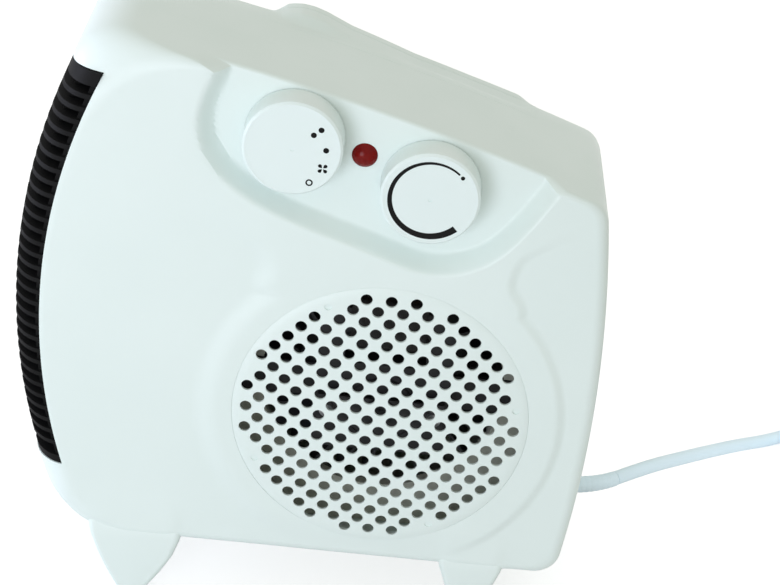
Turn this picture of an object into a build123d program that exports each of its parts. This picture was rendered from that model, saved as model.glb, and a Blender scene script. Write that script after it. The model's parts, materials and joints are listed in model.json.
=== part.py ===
from build123d import *
import math
import os

# Upright fan heater. Millimetres. X runs from the outlet grille (front) to the cord (rear),
# Y runs from the control side into the case, Z is up from the floor that the legs stand on.
# The origin is on the floor, midway along the case and midway through its depth.

# Case
case_length = 245.5
case_depth = 106.0
parting_depth = 38.0
wall = 2.4
join_gap = 0.2
slip = 0.3
front_bow_radius = 274.0
front_bow_height = 138.0
rear_bow_radius = 595.0
rear_bow_height = 115.0
top_bow_radius = 1100.0
front_top_height = 268.2
rear_top_height = 207.4
front_top_corner = 22.0
rear_top_corner = 12.0
rear_bottom_corner = 11.0
front_bottom_corner = 30.0

# Roundings of the case's long edges: how far in, and how deep
front_round_in = 16.0
front_round_deep = 20.0
face_front_corner = 46.0
face_top_round = 2.6
face_edge_round = 5.0
plain_top_round = 42.0
plain_edge_round = 14.0

# Legs
leg_length = 31.0
leg_flare = 2.4
leg_flush_height = 56.0
leg_tip_depth = 9.0
leg_root_depth = 17.0
leg_edge_round = 3.0
# Height as a share of the leg's length, then its left and right side
front_leg = (
    (0.0, -71.4, -63.8),
    (0.07, -73.2, -62.2),
    (0.2, -75.6, -60.2),
    (0.42, -79.4, -55.4),
    (0.7, -83.4, -50.4),
    (1.0, -86.8, -47.2),
    (1.3, -88.4, -46.2),
    (2.6, -90.0, -45.0),
)
rear_leg = (
    (0.0, 75.8, 83.4),
    (0.07, 75.0, 84.4),
    (0.2, 73.9, 85.4),
    (0.42, 71.9, 87.2),
    (0.7, 69.2, 90.0),
    (1.0, 65.8, 93.4),
    (1.3, 64.4, 94.8),
    (2.6, 63.0, 96.0),
)

# Intake and its raised pad
fan_x = 33.5
fan_height = 105.0
intake_radius = 62.0
intake_thickness = 2.0
dome_rise = 2.6
hole_pitch = 7.2
hole_diameter = 4.9
hole_rings = 125
ledge_width = 2.2
stake_radius = 1.5
stake_spots = ((-5, 10), (11, 2), (-10, -5), (5, -10))
stake_dimple = 0.5
pad_radius = 77.0
pad_rise = 1.5
pad_slope = 4.0
pad_foot = 5.2
neck_width = 97.0
neck_height = 60.0

# Control recess and what stands in it
recess_depth = 8.0
recess_slope = 5.5
knob_radius = 20.0
knob_height = 12.5
knob_skirt = 2.2
knob_edge = 0.9
knob_dish = 0.12
knob_gap = 0.4
selector_x = -11.1
selector_height = 225.8
thermostat_x = 44.2
thermostat_height = 209.9
control_shaft_radius = 3.0
shaft_clearance = 0.05
lens_x = 17.0
lens_height = 220.4
lens_radius = 5.1
lens_dome = 2.6

# Outlet grille
grille_bottom = 65.0
grille_top = 247.0
grille_edge_inset = 13.4
grille_setback = 0.4
grille_thickness = 9.0
slat_pitch = 5.58
slat_thickness = 1.9
top_rim = 5.6
bottom_rim = 3.5
grille_rib = 2.0
grille_ribs = 5
grille_rib_back = 3.2
grille_edge_band = 1.6

# Fan and motor, depths from the control face
shroud_depth = 26.0
shroud_thickness = 2.0
inlet_radius = 52.0
impeller_radius = 56.0
impeller_inner = 38.0
impeller_front = 31.5
impeller_back = 69.0
blade_count = 28
blade_thickness = 1.2
fan_shaft_radius = 2.5
scroll_start_radius = 61.0
scroll_growth = 22.0
scroll_back = 78.0
scroll_wall = 2.0
core_front = 8.0
core_stack = 15.0
core_half_width = 28.0
core_below = 22.0
core_above = 46.0
rotor_radius = 16.0
rotor_gap = 0.4
bearing_radius = 5.0
bearing_length = 5.0
coil_half_width = 15.5
coil_build = 6.0
strap_thickness = 1.4
strap_width = 16.0
motor_screw_radius = 1.6
motor_screw_spread = 22.5

# Heating element
liner_front = -96.5
liner_length = 32.0
liner_bottom = 69.0
liner_top = 217.0
liner_near = 10.0
liner_far = 96.0
liner_sheet = 0.8
mica = 1.0
ribbon_count = 8
ribbon_width = 7.0
ribbon_strip = 0.4
ribbon_wave = 3.0
ribbon_pitch = 6.0

# Fasteners and feet
screw_radius = 1.75
screw_head_radius = 3.3
screw_head = 2.2
boss_radius = 4.6
plate_post = 4.0
screw_depth = 58.0
screw_spots = ((-70.5, 50.0), (78.0, 42.0), (-52.0, 240.0), (97.0, 181.0))
control_screw_radius = 1.25
plate_screw_radius = 1.5
plate_screw_head = 2.9
control_screw_head = 2.6
rest_pad_radius = 8.0
rest_pad_height = 3.0
rest_pad_spots = ((-32.0, 58.0), (-62.0, 196.0), (54.0, 58.0), (92.0, 152.0))

# Carry handle and finger pocket
handle_front = -27.0
handle_rear = 85.0
handle_near = 62.0
handle_far = 84.0
handle_rise = 4.0
handle_below = 11.0
pocket_depth = 30.0
pocket_undercut = 11.0
pocket_margin = 8.0

# Flex, strain relief and plug
cord_diameter = 6.5
cord_exit_depth = 58.5
cord_exit_height = 41.0
relief_length = 27.0
relief_bend = 38.0
relief_root = 5.0
relief_tip = 3.8
relief_flange = 6.2
coil_x = 297.0
coil_y = 104.0
coil_outer = 46.0
coil_pitch = 7.0
coil_turns_in = 3.0
coil_turns_out = 2.5
coil_start_angle = 120.0
tail_length = 46.0
plug_length = 38.0
plug_width = 35.0
plug_height = 26.0
plug_grip = 18.0
pin_radius = 2.4
pin_length = 19.0
pin_spacing = 19.0

# Places worked out from the sizes above
rear_x = (case_length - grille_setback) / 2
front_x = rear_x - case_length
knob_proud = knob_gap + knob_height - recess_depth
face_y = (knob_proud - case_depth - rest_pad_height) / 2
back_y = face_y + case_depth
parting_y = face_y + parting_depth
bushing_seat = rear_x - 11.2
clamp_x = rear_x - 15.0
block_x = rear_x - 29.0
inner_cord_end = rear_x - 27.0
cord_radius = cord_diameter / 2
half_pitch = hole_pitch / math.sqrt(2)


def depth(value):
    """Y of a plane that lies this deep behind the control face."""
    return face_y + value


def save(shape, name):
    """Writes one node."""
    solids = shape.solids()
    whole = solids[0] if len(solids) == 1 else Compound(children=solids)
    whole.label = name
    export_step(whole, os.path.join("parts", name + ".step"))


def rod(x, z, radius, start, end):
    """A round bar along Y between two depths."""
    return Pos(x, depth(start), z) * Rot(-90, 0, 0) * Cylinder(
        radius, end - start, align=(Align.CENTER, Align.CENTER, Align.MIN)
    )


def cone(x, z, start_radius, end_radius, start, end):
    """A tapered round bar along Y between two depths."""
    return Pos(x, depth(start), z) * Rot(-90, 0, 0) * Cone(
        start_radius, end_radius, end - start, align=(Align.CENTER, Align.CENTER, Align.MIN)
    )


def block(x0, x1, start, end, z0, z1):
    """A box between two X places, two depths and two heights."""
    size = Box(x1 - x0, end - start, z1 - z0, align=(Align.MIN, Align.MIN, Align.MIN))
    return Pos(x0, depth(start), z0) * size


def prism(points, start, end):
    """A polygon of (x, z) points, pushed along Y between two depths."""
    face = Face(Wire.make_polygon([Vector(x, depth(start), z) for x, z in points], close=True))
    return Solid.extrude(face, Vector(0, end - start, 0))


# The case outline: three bowed sides and a flat bottom, with rounded corners


def meet(a, b, near):
    """The crossing of two circles (x, z, radius) that lies nearest to a point."""
    dx = b[0] - a[0]
    dz = b[1] - a[1]
    gap = math.hypot(dx, dz)
    along = (gap ** 2 + a[2] ** 2 - b[2] ** 2) / (2 * gap)
    side = math.sqrt(a[2] ** 2 - along ** 2)
    found = [
        (a[0] + (along * dx - s * side * dz) / gap, a[1] + (along * dz + s * side * dx) / gap)
        for s in (1, -1)
    ]
    return min(found, key=lambda p: math.hypot(p[0] - near[0], p[1] - near[1]))


def at_height(circle, z, side):
    """X of a circle at a height, on its left (-1) or right (1)."""
    return circle[0] + side * math.sqrt(circle[2] ** 2 - (z - circle[1]) ** 2)


def top_circle():
    """The circle of the top: through the two stated heights, bowed upwards."""
    chord = math.hypot(case_length, front_top_height - rear_top_height)
    drop = math.sqrt(top_bow_radius ** 2 - (chord / 2) ** 2)
    slope = (rear_top_height - front_top_height) / chord
    middle = (front_top_height + rear_top_height) / 2
    return (slope * drop, middle - case_length / chord * drop, top_bow_radius)


front_circle = (front_x + front_bow_radius, front_bow_height, front_bow_radius)
rear_circle = (rear_x - rear_bow_radius, rear_bow_height, rear_bow_radius)
crown = top_circle()


def top_z(x, inset=0.0):
    """Height of the case top at a place along it."""
    return crown[1] + math.sqrt((crown[2] - inset) ** 2 - (x - crown[0]) ** 2)


def outline(y, front, top, rear, bottom, corners):
    """One closed section of the case at a Y, each side drawn in by its own amount."""
    f = (front_circle[0], front_circle[1], front_circle[2] - front)
    t = (crown[0], crown[1], crown[2] - top)
    r = (rear_circle[0], rear_circle[1], rear_circle[2] - rear)
    low = leg_length + bottom
    a = (at_height(f, low, -1), low)
    b = meet(f, t, (front_x, front_top_height))
    c = meet(r, t, (rear_x, rear_top_height))
    d = (at_height(r, low, 1), low)
    mid_z = (a[1] + b[1]) / 2
    mid_x = (b[0] + c[0]) / 2
    back_z = (c[1] + d[1]) / 2
    spots = [Vector(x, y, z) for x, z in (a, b, c, d)]
    crest = Vector(mid_x, y, t[1] + math.sqrt(t[2] ** 2 - (mid_x - t[0]) ** 2))
    edges = [
        Edge.make_three_point_arc(spots[0], Vector(at_height(f, mid_z, -1), y, mid_z), spots[1]),
        Edge.make_three_point_arc(spots[1], crest, spots[2]),
        Edge.make_three_point_arc(spots[2], Vector(at_height(r, back_z, 1), y, back_z), spots[3]),
        Edge.make_line(spots[3], spots[0]),
    ]
    face = Face(Wire(edges))
    for spot, radius in zip(spots, corners):
        vertex = min(face.vertices(), key=lambda v: (Vector(*v) - spot).length)
        face = face.fillet_2d(radius, [vertex])
    return face.outer_wire()


def drawn_in(d, inwards, deep, skin):
    """How far a rounded edge has drawn a side in, at a depth d, for a surface skin below the outside."""
    a = max(inwards - skin, 0.05)
    b = max(deep - skin, 0.05)
    if d - skin >= b:
        return skin
    share = 1 - max(d - skin, 0.0) / b
    return skin + a * (1 - math.sqrt(max(0.0, 1 - share ** 2)))


def near_section(d, skin):
    """The case section at a depth in the control half."""
    front = drawn_in(d, front_round_in, front_round_deep, skin)
    top = drawn_in(d, face_top_round, face_top_round, skin)
    edge = drawn_in(d, face_edge_round, face_edge_round, skin)
    soft = max(0.0, 1 - (d - skin) / front_round_deep)
    corner = front_top_corner + (face_front_corner - front_top_corner) * soft ** 2
    corners = (
        front_bottom_corner - skin,
        corner - skin,
        rear_top_corner - skin,
        rear_bottom_corner - skin,
    )
    return outline(depth(d), front, top, edge, edge, corners)


def far_section(d, skin):
    """The case section at a depth d below the plain side."""
    front = drawn_in(d, front_round_in, front_round_deep, skin)
    top = drawn_in(d, plain_top_round, plain_top_round, skin)
    edge = drawn_in(d, plain_edge_round, plain_edge_round, skin)
    corners = (
        front_bottom_corner - skin,
        front_top_corner - skin,
        rear_top_corner - skin,
        rear_bottom_corner - skin,
    )
    return outline(depth(case_depth - d), front, top, edge, edge, corners)


near_steps = (0.0, 0.12, 0.45, 1.0, 1.8, 2.6, 3.6, 5.0, 7.5, 10.5, 14.5, 20.0)
far_steps = (0.0, 0.4, 1.5, 3.2, 5.6, 9.0, 14.0, 20.0, 27.0, 34.0, 42.0)


def near_half(skin, parting):
    """The control half as a filled block, from its face to a parting depth."""
    last = near_steps[-1]
    steps = [s * front_round_deep / last + skin * (1 - s / last) for s in near_steps]
    wires = [near_section(d, skin) for d in steps + [parting]]
    return Solid.make_loft(wires, True)


def far_half(skin, parting):
    """The plain half as a filled block, from its parting depth to the plain side."""
    last = far_steps[-1]
    steps = [s * plain_top_round / last + skin * (1 - s / last) for s in far_steps]
    wires = [far_section(d, skin) for d in steps + [case_depth - parting]]
    return Solid.make_loft(wires, True)


# Shapes cut into or raised on the control face


def recess_points():
    """The rim of the control recess, as a curve from the top at the front to the top at the rear."""
    s = (selector_x, selector_height)
    t = (thermostat_x, thermostat_height)
    return [
        (s[0] - 29.0, s[1] + 34.0),
        (s[0] - 38.0, s[1] + 8.0),
        (s[0] - 32.0, s[1] - 13.0),
        (s[0] - 9.0, s[1] - 30.0),
        ((s[0] + t[0]) / 2 + 4.5, (s[1] + t[1]) / 2 - 35.5),
        (t[0] + 3.0, t[1] - 35.5),
        (t[0] + 26.0, t[1] - 28.5),
        (t[0] + 42.0, t[1] - 9.5),
        (t[0] + 56.0, t[1] + 16.0),
    ]


def moved_in(points, amount):
    """Points of an open curve moved to its left-hand side."""
    moved = []
    for i, (x, z) in enumerate(points):
        before = points[max(i - 1, 0)]
        after = points[min(i + 1, len(points) - 1)]
        dx = after[0] - before[0]
        dz = after[1] - before[1]
        size = math.hypot(dx, dz)
        moved.append((x - dz / size * amount, z + dx / size * amount))
    return moved


def recess_wire(y, amount):
    """The recess outline at a Y, closed well above the case top."""
    points = [Vector(x, y, z) for x, z in moved_in(recess_points(), amount)]
    curve = Edge.make_spline(points)
    above = front_top_height + 30.0
    ends = [Vector(points[-1].X, y, above), Vector(points[0].X, y, above)]
    sides = [
        Edge.make_line(points[-1], ends[0]),
        Edge.make_line(ends[0], ends[1]),
        Edge.make_line(ends[1], points[0]),
    ]
    return Wire([curve] + sides)


def recess_tool(skin):
    """The space of the control recess; skin makes it larger, for the inside of the wall."""
    over = 3.0
    slope = recess_slope / recess_depth
    top = recess_wire(depth(-over), -skin - slope * over)
    floor = recess_wire(depth(recess_depth + skin), recess_slope - skin + slope * skin)
    return Solid.make_loft([top, floor], True)


def pad_block(skin):
    """The raised pad round the intake: a wide shallow cone with a neck up to the recess."""
    base = 1.0
    rim = pad_radius - pad_slope
    foot = pad_radius + base * pad_slope / pad_rise
    round_part = cone(fan_x, fan_height, rim, foot, -pad_rise, base)
    half = neck_width / 2
    low = fan_height + neck_height - 25.0
    high = thermostat_height
    wide = half + pad_slope
    wires = []
    for spread, level in ((wide, 0.3), (half, -pad_rise)):
        corners = [(-spread, low), (spread, low), (spread, high), (-spread, high)]
        points = [Vector(fan_x + x, depth(level), z) for x, z in corners]
        wires.append(Wire.make_polygon(points, close=True))
    neck = Solid.make_loft(wires, True)
    foot_cut = block(fan_x - 100.0, fan_x + 100.0, -pad_rise - 1.0, base, leg_length + pad_foot, high)
    return (round_part + neck) & foot_cut


def leg_section(z, left, right, side):
    """A leg's horizontal section, with its two outer corners rounded. side is -1 near, 1 far."""
    skin = face_y if side < 0 else back_y
    proud = leg_flare * (1 - z / leg_flush_height)
    share = min(1.0, z / leg_length)
    thick = leg_tip_depth + (leg_root_depth - leg_tip_depth) * share
    outer = skin + side * max(proud, -0.3)
    inner = skin + side * proud - side * thick
    points = [(left, inner)]
    for x, turn in ((left, 1), (right, -1)):
        corner = []
        for k in range(5):
            a = math.radians(22.5 * k)
            dx = leg_edge_round * (1 - math.sin(a))
            dy = leg_edge_round * (1 - math.cos(a))
            corner.append((x + turn * dy, outer - side * dx))
        points += corner if turn > 0 else list(reversed(corner))
    points.append((right, inner))
    return Wire.make_polygon([Vector(x, y, z) for x, y in points], close=True)


def leg(profile, side):
    """One moulded leg: a tapered tooth that flares outwards a little."""
    wires = [leg_section(share * leg_length, left, right, side) for share, left, right in profile]
    return Solid.make_loft(wires, True)


def bosses(start, end, outer, bore, bore_start, bore_end, spots):
    """Round screw bosses along Y, each with its bore as a second shape."""
    posts = [rod(x, z, outer, start, end) for x, z in spots]
    holes = [rod(x, z, bore, bore_start, bore_end) for x, z in spots]
    return posts, holes


control_screw_spots = (
    (selector_x - 9.5, selector_height + 7.0),
    (selector_x + 9.5, selector_height + 7.0),
    (thermostat_x - 9.0, thermostat_height + 6.0),
    (thermostat_x + 9.0, thermostat_height + 6.0),
)
shroud_spots = tuple(
    (fan_x + sx * 68.0, fan_height + sz * 62.0) for sx, sz in ((-1, -1), (1, -1), (-1, 1), (1, 1))
)
scroll_posts = tuple(
    (fan_x + 50.0 * math.cos(math.radians(a)), fan_height + 50.0 * math.sin(math.radians(a)))
    for a in (45, 135, 225, 315)
)


def grille_zone(clearance):
    """The part of the case front that the outlet grille fills, over the whole depth."""
    edge = (front_circle[0], front_circle[1], front_circle[2] - grille_edge_inset + clearance)
    low = grille_bottom + clearance
    high = grille_top - clearance
    mid = (low + high) / 2
    y = depth(-10.0)
    far = front_x - 20.0
    spots = [
        Vector(at_height(edge, low, -1), y, low),
        Vector(at_height(edge, mid, -1), y, mid),
        Vector(at_height(edge, high, -1), y, high),
    ]
    edges = [
        Edge.make_three_point_arc(spots[0], spots[1], spots[2]),
        Edge.make_line(spots[2], Vector(far, y, high)),
        Edge.make_line(Vector(far, y, high), Vector(far, y, low)),
        Edge.make_line(Vector(far, y, low), spots[0]),
    ]
    return Solid.extrude(Face(Wire(edges)), Vector(0, case_depth + 20.0, 0))


def liner_ribs(start, end):
    """Two ribs that hold the element liner off one side of the case."""
    x = liner_front + liner_length / 2
    spots = (liner_bottom + 12.0, liner_top - 40.0)
    return [block(x - 1.2, x + 1.2, start, end, z, z + 12.0) for z in spots]


def intake_tabs():
    """Four short tabs that take the heat-staked posts of the intake grille."""
    tabs = []
    for i, j in stake_spots:
        angle = math.degrees(math.atan2(j, i))
        reach = math.hypot(i, j) * half_pitch
        length = intake_radius - reach + 3.0
        tab = Box(length, 1.6, 6.0, align=(Align.MIN, Align.MIN, Align.CENTER))
        seat = intake_thickness - pad_rise + join_gap
        middle = Pos(fan_x, depth(seat), fan_height) * Rot(0, -angle, 0)
        tabs.append(middle * Pos(reach - 3.0, 0, 0) * tab)
    return tabs


def control_side_shell():
    outer = near_half(0.0, parting_depth)
    inner = near_half(wall, parting_depth + 1.0)
    shell = outer + pad_block(0.0)
    shell = shell + [leg(front_leg, -1), leg(rear_leg, -1)]
    trough = inner - recess_tool(wall)
    shell = shell - trough - recess_tool(0.0)
    seat = intake_thickness - pad_rise + join_gap
    shell = shell - rod(fan_x, fan_height, intake_radius + slip, -10.0, seat)
    shell = shell - rod(fan_x, fan_height, intake_radius - ledge_width, seat - 1.0, wall + 1.0)
    shell = shell - grille_zone(0.0)
    root = wall - 0.4
    bore = screw_radius + 0.05
    posts, holes = bosses(root, parting_depth - join_gap, boss_radius - 0.6, bore, 14.0, 60.0, screw_spots)
    bore = plate_screw_radius + 0.05
    end = shroud_depth - join_gap
    near_posts, near_holes = bosses(root, end, plate_post, bore, 12.0, 60.0, shroud_spots)
    shell = shell + posts + near_posts + liner_ribs(root, liner_near - join_gap) + intake_tabs()
    cuts = holes + near_holes
    floor_end = recess_depth + wall + 1.0
    cuts.append(rod(selector_x, selector_height, control_shaft_radius + 0.6, 0.0, floor_end))
    cuts.append(rod(thermostat_x, thermostat_height, control_shaft_radius + 0.6, 0.0, floor_end))
    cuts.append(rod(lens_x, lens_height, lens_radius + 0.15, 0.0, floor_end))
    for i, j in stake_spots:
        cuts.append(rod(fan_x + i * half_pitch, fan_height + j * half_pitch, stake_radius + 0.15, -1.0, 5.0))
    for x, z in control_screw_spots:
        cuts.append(rod(x, z, control_screw_radius + 0.3, 0.0, floor_end))
    return shell - cuts


def pocket_blocks():
    """The finger pocket behind the handle, its floor along the case top: outside and inside."""
    x0 = handle_front + pocket_margin
    x1 = handle_rear - pocket_margin
    roof = front_top_height + 10.0
    low0 = top_z(x0) - pocket_depth
    low1 = top_z(x1) - pocket_depth
    under0 = top_z(x0) - handle_below - wall
    under1 = top_z(x1) - handle_below - wall
    far = handle_far + join_gap
    near = handle_far - pocket_undercut
    inside = prism([(x0, low0), (x1, low1), (x1, roof), (x0, roof)], far, case_depth + 5.0)
    below = prism([(x0, low0), (x1, low1), (x1, under1), (x0, under0)], near, handle_far + 1.0)
    outer = [(x0 - wall, low0 - wall), (x1 + wall, low1 - wall), (x1 + wall, roof), (x0 - wall, roof)]
    outside = prism(outer, near - wall, case_depth)
    return outside, inside + below


def handle_bar(clearance):
    """The grip bar: sections along X that follow the case top, proud of it in the middle."""
    stations = (
        (handle_front - clearance, 0.0),
        (handle_front + 9.0, 0.85),
        (handle_front + 30.0, 1.0),
        (handle_rear - 30.0, 1.0),
        (handle_rear - 9.0, 0.85),
        (handle_rear + clearance, 0.0),
    )
    near = handle_near - clearance
    far = handle_far + clearance
    wires = []
    for x, share in stations:
        top = top_z(x)
        rise = 0.15 + handle_rise * share
        corners = [
            (near, top - handle_below - clearance),
            (near, top - 0.3),
            (near + 2.2, top + rise * 0.8),
            (near + 5.5, top + rise),
            (far - 8.0, top + rise - 0.6),
            (far - 2.5, top + rise - 3.0),
            (far, top - 5.2),
            (far, top - handle_below - clearance),
        ]
        wires.append(Wire.make_polygon([Vector(x, depth(d), z) for d, z in corners], close=True))
    return Solid.make_loft(wires, True)


def carry_handle():
    """The grip bar, hollowed from below between cross ribs."""
    bar = handle_bar(0.0)
    first = handle_front + 8.0
    last = handle_rear - 8.0
    bays = 6
    span = (last - first) / bays
    hollows = []
    for k in range(bays):
        x0 = first + span * k + 0.8
        x1 = first + span * (k + 1) - 0.8
        roof = top_z(x1) - 3.4
        floor = top_z(x0) - handle_below - 8.0
        hollows.append(block(x0, x1, handle_near + wall, handle_far - wall, floor, roof))
    return bar - hollows


def cord_seats():
    """The block that the flex lies on, and the thick place round the hole where it leaves."""
    d = cord_exit_depth
    floor = leg_length + wall - 0.4
    top = cord_exit_height - cord_radius - join_gap
    lying = block(clamp_x - 6.0, clamp_x + 0.7, d - 11.0, d + 11.0, floor, top)
    thick = block(bushing_seat, rear_x, d - 9.0, d + 9.0, leg_length, cord_exit_height + 8.5)
    return [lying, thick]


def clamp_holes():
    """Screw holes of the flex clamp."""
    low = leg_length + wall + 1.0
    spots = [(clamp_x - 2.1, depth(cord_exit_depth + 7.5 * k), low) for k in (-1, 1)]
    pilot = Cylinder(1.25, 20.0, align=(Align.CENTER, Align.CENTER, Align.MIN))
    return [Pos(*p) * pilot for p in spots]


def plain_side_shell():
    outer = far_half(0.0, parting_depth + join_gap)
    inner = far_half(wall, parting_depth - 1.0)
    shell = outer
    shell = shell + [leg(front_leg, 1), leg(rear_leg, 1)]
    shell = shell - inner
    pocket_out, pocket_in = pocket_blocks()
    shell = shell + (pocket_out & outer)
    bar_seat = handle_bar(wall + slip) & outer
    shell = shell + bar_seat
    shell = shell - pocket_in - handle_bar(slip)
    shell = shell - grille_zone(0.0)
    end = case_depth - wall + 0.4
    bore = screw_radius + 0.25
    posts, holes = bosses(parting_depth + join_gap, end, boss_radius, bore, 0.0, 120.0, screw_spots)
    bore = plate_screw_radius + 0.05
    rest = scroll_back + scroll_wall + join_gap
    back_posts, back_holes = bosses(rest, end, plate_post, bore, 70.0, 92.0, scroll_posts)
    added = posts + back_posts + liner_ribs(liner_far + join_gap, end) + cord_seats()
    shell = shell + [piece & outer for piece in added]
    for x, z in screw_spots:
        holes.append(rod(x, z, screw_head_radius + 0.25, screw_depth, 120.0))
    for x, z in rest_pad_spots:
        holes.append(rod(x, z, 2.1, case_depth - 10.0, case_depth + 1.0))
    shell = shell - (holes + back_holes + clamp_holes())
    exit_place = Pos(rear_x, depth(cord_exit_depth), cord_exit_height) * Rot(0, 90, 0)
    return shell - exit_place * Cylinder(relief_root + 0.2, 40.0)


def grille_plan(z, skin_out, skin_in):
    """One slat's outline seen from above, at a height: the bowed corners of the case, a band wide."""
    edge = front_circle[2] - grille_edge_inset + slip
    reach = front_circle[2] - edge
    sides = []
    for skin in (skin_out, skin_in):
        inner = max(front_round_in - skin, 0.05)
        share = (front_round_in - reach) / inner
        first = skin + (front_round_deep - skin) * (1 - math.sqrt(1 - share ** 2))
        steps = [first] + [d for d in near_steps if d > first + 0.3]
        side = []
        for d in steps:
            inset = drawn_in(d, front_round_in, front_round_deep, skin)
            circle = (front_circle[0], front_circle[1], front_circle[2] - inset)
            side.append(Vector(at_height(circle, z, -1), depth(d), z))
        far = [Vector(v.X, depth(case_depth) - (v.Y - depth(0.0)), z) for v in reversed(side)]
        sides.append(side + far)
    return Wire.make_polygon(sides[0] + list(reversed(sides[1])), close=True)


def grille_slat(z0, z1):
    """A slat or rim between two heights."""
    skin_in = grille_setback + grille_thickness
    wires = [grille_plan(z, grille_setback, skin_in) for z in (z0, z1)]
    return Solid.make_loft(wires, True)


def grille_upright(outer, inner, start, end):
    """A bowed upright between two distances behind the case front and two depths."""
    low = grille_bottom + slip
    high = grille_top - slip
    mid = (low + high) / 2
    y = depth(start)
    arcs = []
    for skin in (outer, inner):
        circle = (front_circle[0], front_circle[1], front_circle[2] - skin)
        arcs.append([Vector(at_height(circle, z, -1), y, z) for z in (low, mid, high)])
    edges = [
        Edge.make_three_point_arc(*arcs[0]),
        Edge.make_line(arcs[0][2], arcs[1][2]),
        Edge.make_three_point_arc(*reversed(arcs[1])),
        Edge.make_line(arcs[1][0], arcs[0][0]),
    ]
    return Solid.extrude(Face(Wire(edges)), Vector(0, end - start, 0))


def outlet_grille():
    """Bowed grille: horizontal slats that wrap both corners, rims, and uprights behind."""
    low = grille_bottom + slip
    high = grille_top - slip
    first = high - top_rim
    count = round((first - low - bottom_rim) / slat_pitch)
    pitch = (first - low - bottom_rim) / count
    pieces = [grille_slat(low, low + bottom_rim), grille_slat(first, high)]
    for k in range(1, count):
        z = first - k * pitch
        pieces.append(grille_slat(z, z + slat_thickness))
    back = grille_setback + grille_thickness
    spread = case_depth - 2 * 12.0
    for k in range(grille_ribs):
        d = 12.0 + spread * k / (grille_ribs - 1)
        near = min(d, case_depth - d) - grille_rib / 2
        inset = drawn_in(near, front_round_in, front_round_deep, grille_setback)
        start = d - grille_rib / 2
        pieces.append(grille_upright(inset + grille_rib_back, back + 0.6, start, start + grille_rib))
    reach = grille_edge_inset - slip
    for start, end in ((2.4, back), (case_depth - back, case_depth - 2.4)):
        pieces.append(grille_upright(reach - grille_edge_band, reach, start, end))
    return pieces[0].fuse(*pieces[1:])


def intake_grille():
    """Domed disc with a square lattice of holes, turned by 45 degrees."""
    sphere_radius = (intake_radius ** 2 + dome_rise ** 2) / (2 * dome_rise)
    apex = depth(-pad_rise - dome_rise)
    disc = rod(fan_x, fan_height, intake_radius, -pad_rise - dome_rise - 1.0, intake_thickness - pad_rise)
    ball = Pos(fan_x, apex + sphere_radius, fan_height) * Sphere(sphere_radius)
    hollow_ball = Pos(fan_x, apex + intake_thickness + sphere_radius, fan_height) * Sphere(sphere_radius)
    shape = (disc & ball) - hollow_ball
    rim = rod(fan_x, fan_height, intake_radius, -pad_rise + 0.02, intake_thickness - pad_rise)
    shape = shape + (rim - rod(fan_x, fan_height, intake_radius - ledge_width, -5.0, 5.0))
    reach = int(math.sqrt(hole_rings)) + 1
    tools = []
    for i in range(-reach, reach + 1):
        for j in range(-reach, reach + 1):
            if (i + j) % 2 and i * i + j * j <= hole_rings and (i, j) not in stake_spots:
                x = fan_x + i * half_pitch
                z = fan_height + j * half_pitch
                tools.append(rod(x, z, hole_diameter / 2, -10.0, 5.0))
    shape = shape - tools
    sag = dome_rise * hole_rings * half_pitch ** 2 / intake_radius ** 2
    surface = -pad_rise - dome_rise + sag
    for i, j in stake_spots:
        x = fan_x + i * half_pitch
        z = fan_height + j * half_pitch
        shape = shape + rod(x, z, stake_radius, surface + 1.2, wall + 2.0)
        shape = shape - rod(x, z, stake_radius, surface - 2.0, surface + stake_dimple)
    return shape


# Controls


def knob(x, z):
    """A round knob with a stepped skirt, a chamfered face edge and a tiny centre mark."""
    front = recess_depth - knob_gap - knob_height
    back = recess_depth - knob_gap
    body = cone(x, z, knob_radius - 0.3, knob_radius, front, back)
    face_edges = body.edges().filter_by(GeomType.CIRCLE).sort_by(Axis.Y)
    body = chamfer([face_edges[0]], knob_edge)
    body = body - rod(x, z, knob_radius - 2 * knob_edge, front - 1.0, front + knob_dish)
    body = body - rod(x, z, 0.8, front - 1.0, front + knob_dish + 0.3)
    hollow = rod(x, z, knob_radius - knob_skirt, front + 3.0, back + 1.0)
    socket = rod(x, z, control_shaft_radius + 2.2, front + 3.0, back - 0.6)
    bore = rod(x, z, control_shaft_radius, front + 4.5, back)
    return (body - hollow) + (socket - bore)


def control_shaft(x, z, end):
    """The spindle of a control, from inside the knob to its seat."""
    front = recess_depth - knob_gap - knob_height + 4.6
    return rod(x, z, control_shaft_radius - 0.02, front, end)


switch_front = recess_depth + wall + join_gap
switch_back = switch_front + 15.0


def selector_switch():
    x, z = selector_x, selector_height
    body = block(x - 13.0, x + 13.0, switch_front, switch_back, z - 13.0, z + 11.0)
    for k in (-1, 0, 1):
        middle = x + k * 7.0
        body = body + block(middle - 1.6, middle + 1.6, switch_back, switch_back + 6.0, z - 8.0, z - 7.2)
    body = body - rod(x, z, control_shaft_radius + shaft_clearance, 0.0, switch_back - 3.0)
    for k in (-1, 1):
        body = body - rod(x + k * 9.5, z + 7.0, 1.3, 0.0, switch_front + 8.0)
    return body


def thermostat_body():
    x, z = thermostat_x, thermostat_height
    base = block(x - 12.0, x + 12.0, switch_front, switch_front + 2.0, z - 9.0, z + 9.0)
    tower = block(x - 6.0, x + 6.0, switch_front + 1.0, switch_front + 12.0, z - 6.0, z + 6.0)
    arm = block(x + 5.0, x + 20.0, switch_front + 7.0, switch_front + 12.0, z - 3.5, z + 3.5)
    body = base + tower + arm
    body = body - rod(x, z, control_shaft_radius + shaft_clearance, 0.0, switch_front + 9.0)
    for k in (-1, 1):
        body = body - rod(x + k * 9.0, z + 6.0, 1.3, 0.0, switch_front + 6.0)
    return body


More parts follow.
